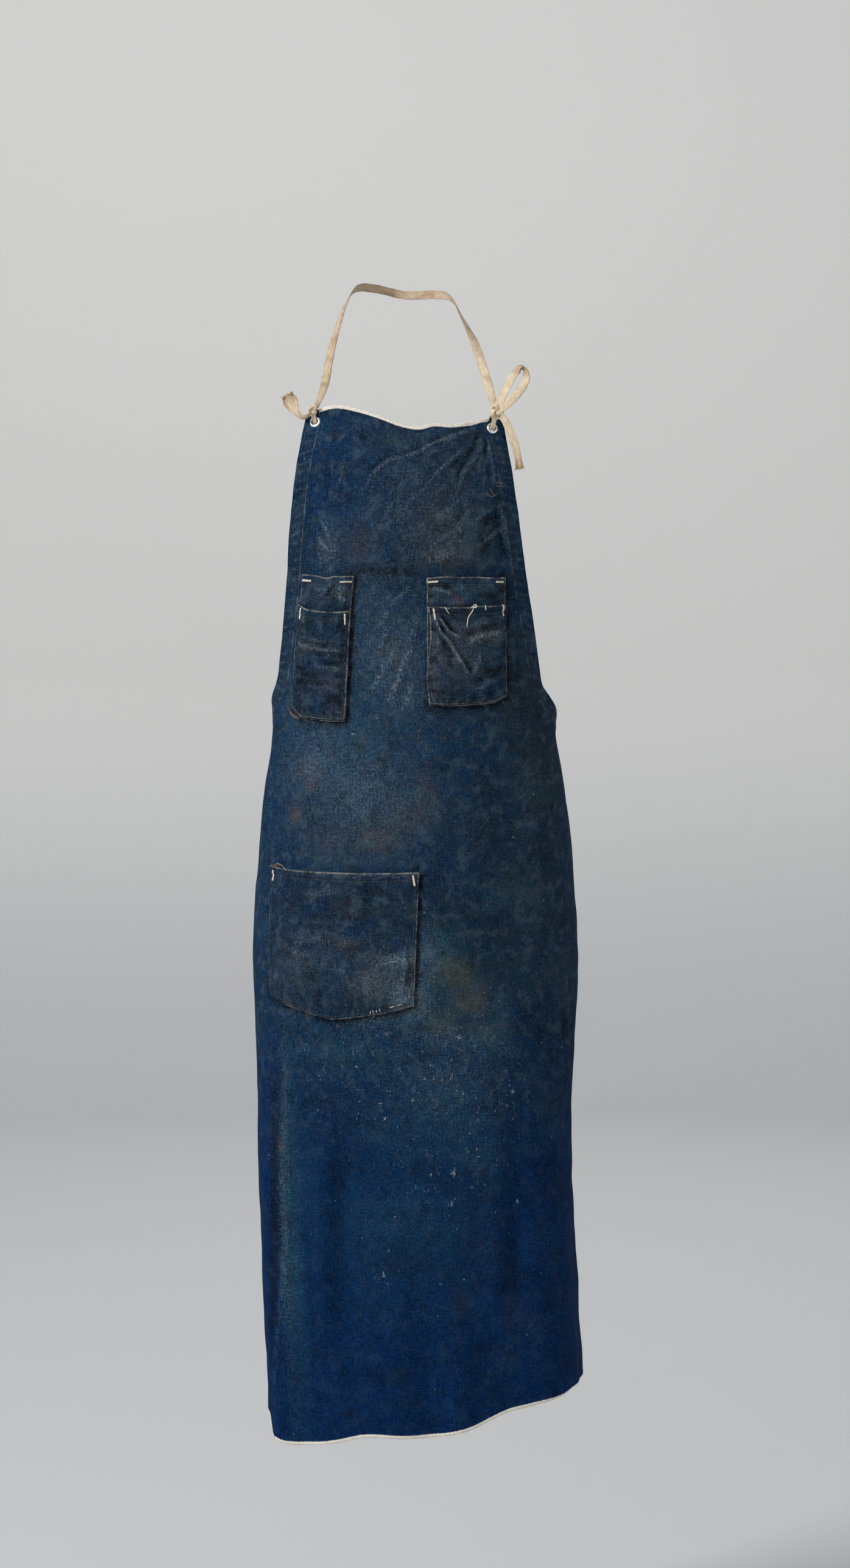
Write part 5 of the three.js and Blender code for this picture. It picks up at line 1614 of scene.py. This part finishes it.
def eyelet(name, s, z):
    """Pressed ring: its section turned about the axis, the set side at the back in petals."""
    section = spline(RING_SECTION, 60, closed=True)
    turn = full_turn(RING_STEPS)
    behind = smooth_step(-1.0, -1.4, section[:, 1]) * smooth_step(5.0, 6.4, section[:, 0])
    petals = 0.5 * behind * (np.abs(np.cos(RING_PETALS * turn / 2))[:, None] ** 0.5 - 1)
    radius = section[:, 0] + petals
    middle, across, up, out = eyelet_axes(s, z)
    points = (middle + radius[..., None] * (np.cos(turn)[:, None, None] * across
                                            + np.sin(turn)[:, None, None] * up)
              + section[:, 1][:, None] * out)
    cells = grid_cells(RING_STEPS, len(section), wrap_rows=True, wrap_columns=True)
    return make_mesh("pressed_" + name, points.reshape(-1, 3), cells[:, ::-1], METAL)


# Neck tape: place and the direction across the band at each point of a run
NECK_ROUTE = np.array([
    (-104, 34.5, 352.5, 1, 0, 0), (-95, 45, 378, 1, -0.1, 0.1), (-88, 61, 420, 0.9, -0.3, 0.2),
    (-80, 81, 457, 0.7, -0.5, 0.4), (-70, 103, 490, 0.51, -0.63, 0.53),
    (-59, 128, 510, 0.3, -0.5, 0.8), (-36, 157, 515, 0.1, -0.1, 1), (0, 171, 510, 0, 0, 1),
    (34, 157, 508, -0.1, -0.1, 1), (54, 126, 498, -0.3, -0.5, 0.8),
    (67, 97, 470, -0.55, -0.45, 0.5), (81, 76, 437, -0.75, 0.05, 0.4),
    (92, 57, 400, -0.9, 0.3, 0.2), (101, 43, 366, -1, 0.25, 0.1), (105, 34, 348, -1, 0.1, 0),
], float)
LEFT_END = np.array([
    (-107, 30, 347, 0, -0.5, 1), (-114, 27.5, 340.5, 0, -0.5, 1), (-120.5, 27, 340, 0.2, -0.5, 1),
    (-126, 27, 345, 0.6, -0.5, 0.7), (-129.5, 28.5, 351, 1, -0.4, 0.4),
    (-133, 30, 358, 1, -0.3, 0.5), (-136.5, 30, 365, 1, -0.2, 0.5),
], float)
BOW_LOOP = np.array([
    (106, 29, 346, -0.6, 0.3, 0.4), (108.5, 29, 354, -0.75, 0.45, 0.4),
    (115.3, 30, 369, -0.75, 0.5, 0.4), (122, 30, 382, -0.75, 0.5, 0.42),
    (128, 29, 391.5, -0.72, 0.5, 0.5), (134, 26, 395.5, -0.68, 0.55, 0.5),
    (138.5, 23, 392.5, -0.62, 0.68, 0.4), (140, 20.5, 384, -0.62, 0.62, 0.5),
    (137, 19.5, 375.5, -0.7, 0.4, 0.6), (130, 20, 366, -0.7, 0.22, 0.68),
    (121, 22, 357, -0.7, 0.22, 0.7), (106, 26, 345, -0.6, 0.3, 0.4),
], float)
RIGHT_END = np.array([
    (106, 28, 345, 0.6, -0.7, 0.3), (114.5, 25, 338, 0.7, -0.7, 0.3),
    (121.5, 25, 324, 0.9, -0.4, 0.3), (128, 27, 306, 1, -0.2, 0.1), (131.5, 29, 291, 1, -0.1, 0),
    (133, 30, 281, 1, 0, 0),
], float)
LEFT_KNOT = np.array([-107.0, 31.0, 349.0])
RIGHT_KNOT = np.array([106.0, 27.5, 346.5])
TAPE_WIDTH = 10.0
TAPE_THICK = 1.1
BOW_WIDTH = 10.0
LACING_WIDTH = {"eyelet_left": 5.4, "eyelet_right": 6.2}
LACING_THICK = 1.6
LACING_CLEAR = 3.3
BAND_SIDES = 24
# Darkening along a tape's edges
EDGE_DARKENING = 0.45
KNOT_STEPS = 96


def band(route, count, width, thick, cup, seed, flare=None, pleats=0.0, closed=False, soil_and_shade=None):
    """Woven band: along the route a thin rounded section, square to the route, turned as its
    across directions say. It is cupped, its edges waver and are darker, and towards its end it may
    flare and fall into pleats. Gives points, faces, caps, flat places and a darkening share that
    holds soil and painted shade."""
    path = spline(route, count, closed)
    middle, across = path[:, :3], path[:, 3:]
    if closed:
        tangent = np.roll(middle, -1, axis=0) - np.roll(middle, 1, axis=0)
    else:
        tangent = np.gradient(middle, axis=0)
    tangent = unit(tangent)
    across = unit(across - tangent * (across * tangent).sum(axis=1, keepdims=True))
    out = np.cross(across, tangent)
    share = np.linspace(0, 1, count)
    run = run_along(middle)
    wide = width * (np.ones(count) if flare is None else np.interp(share, *flare))
    turn = full_turn(BAND_SIDES)
    x = 0.5 * np.sign(np.cos(turn)) * np.abs(np.cos(turn)) ** 0.75
    y = 0.5 * np.sign(np.sin(turn)) * np.abs(np.sin(turn)) ** 0.3
    phase = 0.7 * seed
    waver = np.stack([0.022 * np.sin(run / 3.1 + phase) + 0.02 * np.sin(run / 1.3 + 2 * phase),
                      0.022 * np.sin(run / 3.7 + 3 * phase) + 0.02 * np.sin(run / 1.6 + phase)])
    side = x[None, :] * (1 + np.where(x < 0, waver[0][:, None], waver[1][:, None]))
    bow = -cup * (2 * side) ** 2 + 0.12 * np.sin(run / 4.3 + phase)[:, None] * side * 2
    folds = pleats * (share ** 2)[:, None] * np.sin(2 * np.pi * 1.6 * side + phase)
    over = side * wide[:, None]
    up = y[None, :] * thick + bow + folds
    points = middle[:, None] + across[:, None] * over[..., None] + out[:, None] * up[..., None]
    cells = grid_cells(count, BAND_SIDES, wrap_rows=closed, wrap_columns=True)
    caps = np.empty((0, BAND_SIDES), int) if closed else np.stack([
        np.arange(BAND_SIDES), (count - 1) * BAND_SIDES + np.arange(BAND_SIDES)[::-1]])
    flat = np.stack(np.broadcast_arrays(over + 40 * seed, run[:, None]), axis=-1)
    # Darkening share: soil and painted shade given along the band, and darker edges
    tape_darkening = np.zeros(count) if soil_and_shade is None else np.interp(share, *soil_and_shade)
    tape_darkening = tape_darkening[:, None] + EDGE_DARKENING * smooth_step(0.7, 1, 2 * np.abs(side))
    return points.reshape(-1, 3), cells, caps, flat.reshape(-1, 2), tape_darkening.ravel()


def knot(middle, size, tilt, seed):
    """Overhand knot: a flattened section along a three-leaved loop, its flat side outwards."""
    t = full_turn(KNOT_STEPS)
    leaf = np.stack([np.sin(t) + 2 * np.sin(2 * t), -0.95 * np.sin(3 * t),
                     np.cos(t) - 2 * np.cos(2 * t)], axis=1) * size
    turned = np.stack([leaf[:, 0] * np.cos(tilt) - leaf[:, 2] * np.sin(tilt), leaf[:, 1],
                       leaf[:, 0] * np.sin(tilt) + leaf[:, 2] * np.cos(tilt)], axis=1)
    tangent = unit(np.roll(turned, -1, axis=0) - np.roll(turned, 1, axis=0))
    out = turned + np.array([0.0, -1.5, 0.0])
    out = unit(out - tangent * (out * tangent).sum(axis=1, keepdims=True))
    across = np.cross(tangent, out)
    turn = full_turn(BAND_SIDES)
    swell = size * (0.6 + 0.07 * np.sin(3 * t + seed))
    ring = (across[:, None] * (2.1 * np.cos(turn))[:, None]
            + out[:, None] * (1.25 * np.sin(turn))[:, None])
    points = middle + turned[:, None] + ring * swell[:, None, None]
    cells = grid_cells(KNOT_STEPS, BAND_SIDES, wrap_rows=True, wrap_columns=True)
    run = np.broadcast_to((t * 6)[:, None], (KNOT_STEPS, BAND_SIDES))
    flat = np.stack([np.broadcast_to(turn * 1.6 + 40 * seed, run.shape), run], axis=-1)
    soil_and_shade = np.full(KNOT_STEPS * BAND_SIDES, -0.4)
    return points.reshape(-1, 3), cells, np.empty((0, BAND_SIDES), int), flat.reshape(-1, 2), soil_and_shade


def lacing(name, middle, seed):
    """Doubled tape from a knot through its eyelet and back over the top edge, as a closed band."""
    s, z = EYELETS[name]
    top = curve_through(TOP_EDGE, np.array(float(s)))
    way = np.array([
        (z + 6.6, LACING_CLEAR + 0.35), (z, 0.5), (z - 0.35, -EYELET_WALL - 1.7),
        (z + 4, -EYELET_WALL - LACING_CLEAR - 1.6), (z + 8.2, -EYELET_WALL - LACING_CLEAR),
        (top + 3.2, -1.65),
    ])
    places = np.concatenate([middle[None], on_cloth(float(s), way[:, 0], way[:, 1])])
    across = np.broadcast_to(eyelet_axes(s, z)[1], places.shape)
    return band(np.concatenate([places, across], axis=1), 72, LACING_WIDTH[name], LACING_THICK, 0.2,
                seed, flare=([0, 0.1, 0.2, 0.5, 0.85, 1], [1.25, 1.2, 0.9, 0.9, 1.05, 1.25]),
                closed=True, soil_and_shade=([0, 1], [-0.4, -0.4]))


def tip_threads(route, count, width, reach, seed):
    """Frayed ends past a band's tip: short threads that fan out along and across it."""
    rng = np.random.default_rng(seed)
    tip, before = route[-1], route[-2]
    way = unit(tip[:3] - before[:3])
    across = unit(tip[3:] - way * np.dot(tip[3:], way))
    out = np.cross(across, way)
    place = np.linspace(-0.46, 0.46, count) * width
    start = tip[:3] + across * place[:, None] - way * 0.8
    length = reach * rng.uniform(0.5, 1.2, (count, 1))
    fan = place[:, None] * rng.uniform(0.0, 0.35, (count, 1))
    curl = rng.normal(0, 0.35, (count, 1)) * reach
    end = start + way * length + across * fan + out * curl
    return capsules(start, end, np.broadcast_to(out, start.shape), 0.3, 0.1, seed)


def neck_tape():
    """The tied tape: neck strand, two knots, both lacings, the bow loop and two ends."""
    groups = [
        band(NECK_ROUTE, 320, TAPE_WIDTH, TAPE_THICK, 0.5, 1,
             flare=([0, 0.02, 0.06, 0.94, 0.98, 1], [0.6, 0.72, 1.0, 1.0, 0.7, 0.6]),
             # the neck strand's darkening is painted shade, lighter towards the right eyelet
             soil_and_shade=([0, 0.05, 0.2, 0.32, 0.5, 0.8, 0.9, 1],
                   [0.3, 0.3, 0.35, 0.5, 0.4, 0.25, -0.1, -0.3])),
        band(LEFT_END, 72, TAPE_WIDTH, TAPE_THICK, 0.6, 2,
             flare=([0, 0.2, 0.4, 0.55, 0.7, 0.88, 1], [0.5, 0.45, 0.55, 0.9, 1.5, 1.75, 1.4]),
             pleats=1.5, soil_and_shade=([0, 0.6, 0.85, 1], [0.15, 0.1, 0.35, 0.7])),
        band(BOW_LOOP, 160, BOW_WIDTH, TAPE_THICK, 0.4, 3,
             flare=([0, 0.08, 0.9, 1], [0.6, 1.0, 1.0, 0.6]),
             soil_and_shade=([0, 0.36, 0.46, 0.54, 0.62, 1], [-0.4, -0.35, 0.6, 0.5, -0.3, -0.4])),
        band(RIGHT_END, 110, TAPE_WIDTH, TAPE_THICK, 0.5, 4,
             flare=([0, 0.12, 0.6, 0.85, 1], [0.6, 0.98, 0.92, 0.8, 0.95]), pleats=0.5,
             soil_and_shade=([0, 0.7, 0.9, 1], [-0.25, -0.2, 0.15, 0.75])),
        knot(LEFT_KNOT, 1.6, 0.5, 5), knot(RIGHT_KNOT, 2.3, -0.6, 6),
        lacing("eyelet_left", LEFT_KNOT, 7), lacing("eyelet_right", RIGHT_KNOT, 8),
    ]
    passed = np.concatenate([[0], np.cumsum([len(group[0]) for group in groups])[:-1]])
    faces = [np.concatenate([group[side] + start for group, start in zip(groups, passed)])
             for side in (1, 2)]
    points, flat, soil_and_shade = (np.concatenate([group[part] for group in groups]) for part in (0, 3, 4))
    tape = make_mesh("tied_neck_tape", points, faces, COTTON, flat, dict(soil_and_shade=soil_and_shade))
    thread_piece("frayed_tape_ends", [tip_threads(LEFT_END, 46, 13.6, 4.2, 251),
                                      tip_threads(LEFT_END, 40, 13.0, 3.2, 253),
                                      tip_threads(RIGHT_END, 26, 10.4, 2.6, 252)],
                 TIP_THREAD, "cotton_tape")
    return tape


# Stage, lights and camera

FLOOR = -1.72
STAGE_FLAT = 5.4
STAGE_CURVE = 1.6
STAGE_WALL = 6.6
STAGE_STEPS = 96


def stage():
    """Pale seamless ground: flat, then a quarter circle up into a wall, turned about the upright."""
    bend = np.linspace(0, np.pi / 2, 24)
    radius = np.concatenate([[0.05, 1.5, 3.0, 4.4], STAGE_FLAT + STAGE_CURVE * np.sin(bend),
                             [STAGE_FLAT + STAGE_CURVE]])
    level = np.concatenate([np.zeros(4), STAGE_CURVE * (1 - np.cos(bend)), [STAGE_WALL]])
    turn = full_turn(STAGE_STEPS)
    x = radius[:, None] * np.cos(turn)
    y = radius[:, None] * np.sin(turn)
    z = np.broadcast_to(level[:, None] + FLOOR, x.shape)
    points = np.stack([x, y, z], axis=-1).reshape(-1, 3)
    material, tree, shader = new_finish("pale_ground", 0.9)
    place = put(tree, "ShaderNodeTexCoord").outputs["Object"]
    up = put(tree, "ShaderNodeSeparateXYZ", {0: place}).outputs[2]
    rise = plus(tree, ease(tree, up, FLOOR, FLOOR + STAGE_CURVE),
                times(tree, speckle(tree, 3.0, 2.0), 0.02))
    tree.links.new(blend(tree, rise, (0.52, 0.53, 0.54), (0.77, 0.77, 0.76)),
                   shader.inputs["Base Color"])
    cells = grid_cells(len(radius), STAGE_STEPS, wrap_columns=True)
    centre = np.arange(STAGE_STEPS)
    ground = make_mesh("pale_ground", points / MM + NAPE, [cells, centre[None, :]], material)


def light(name, place, aim, size, power, colour):
    """Soft square light that looks from its place to an aim and isn't seen itself."""
    lamp = bpy.data.lights.new(name, "AREA")
    lamp.shape = "SQUARE"
    lamp.size = size
    lamp.energy = power
    lamp.color = colour
    lantern = bpy.data.objects.new(name, lamp)
    bpy.context.scene.collection.objects.link(lantern)
    lantern.location = place
    way = Vector(aim) - Vector(place)
    lantern.rotation_euler = way.to_track_quat("-Z", "Y").to_euler()
    lantern.visible_camera = False


def studio():
    """Soft daylight from the upper left, a weak warm fill from the right, and pale surroundings."""
    middle = (0.0, -0.05, -0.65)
    light("window_light", (-2.9, -2.0, 1.3), middle, 0.9, 156.0, (1.0, 0.99, 0.97))
    light("room_fill", (2.6, -2.6, 0.1), middle, 2.2, 27.0, (1.0, 0.95, 0.88))
    light("back_fill", (1.6, 3.6, 2.6), middle, 2.4, 46.0, (1.0, 0.98, 0.95))
    light("wall_wash", (-0.8, 3.0, 3.2), (0.0, 7.0, -0.4), 2.0, 56.0, (1.0, 0.99, 0.97))
    world = bpy.data.worlds.new("pale_surroundings")
    world.use_nodes = True
    sky = world.node_tree.nodes["Background"]
    sky.inputs["Color"].default_value = (0.93, 0.95, 1.0, 1.0)
    sky.inputs["Strength"].default_value = 0.5
    bpy.context.scene.world = world
    bpy.context.scene.view_settings.view_transform = "Standard"


def camera():
    """Level camera at the height of the hips, in front of the apron."""
    eye = bpy.data.cameras.new("front_camera")
    eye.sensor_width = 36.0
    eye.lens = 55.9
    eye.clip_end = 40.0
    holder = bpy.data.objects.new("front_camera", eye)
    bpy.context.scene.collection.objects.link(holder)
    holder.location = (0.0231, -2.9704, -0.5961)
    holder.rotation_euler = (np.pi / 2, 0.0, 0.0)
    bpy.context.scene.camera = holder


camera()
stage()
studio()

cloth = settle(apron_cloth(), "denim", "apron_panel")
for patch_name, patch in PATCHES.items():
    made = settle(pocket_patch("patch_" + patch_name, patch), "pocket_denim", patch_name)
hem_sewing()
pocket_sewing()
bar_tacks()
tufts()
loose_threads()
for eyelet_name, (eyelet_s, eyelet_z) in EYELETS.items():
    settle(eyelet(eyelet_name, eyelet_s, eyelet_z), "eyelet_metal", eyelet_name)
settle(neck_tape(), "cotton_tape", "neck_tape")
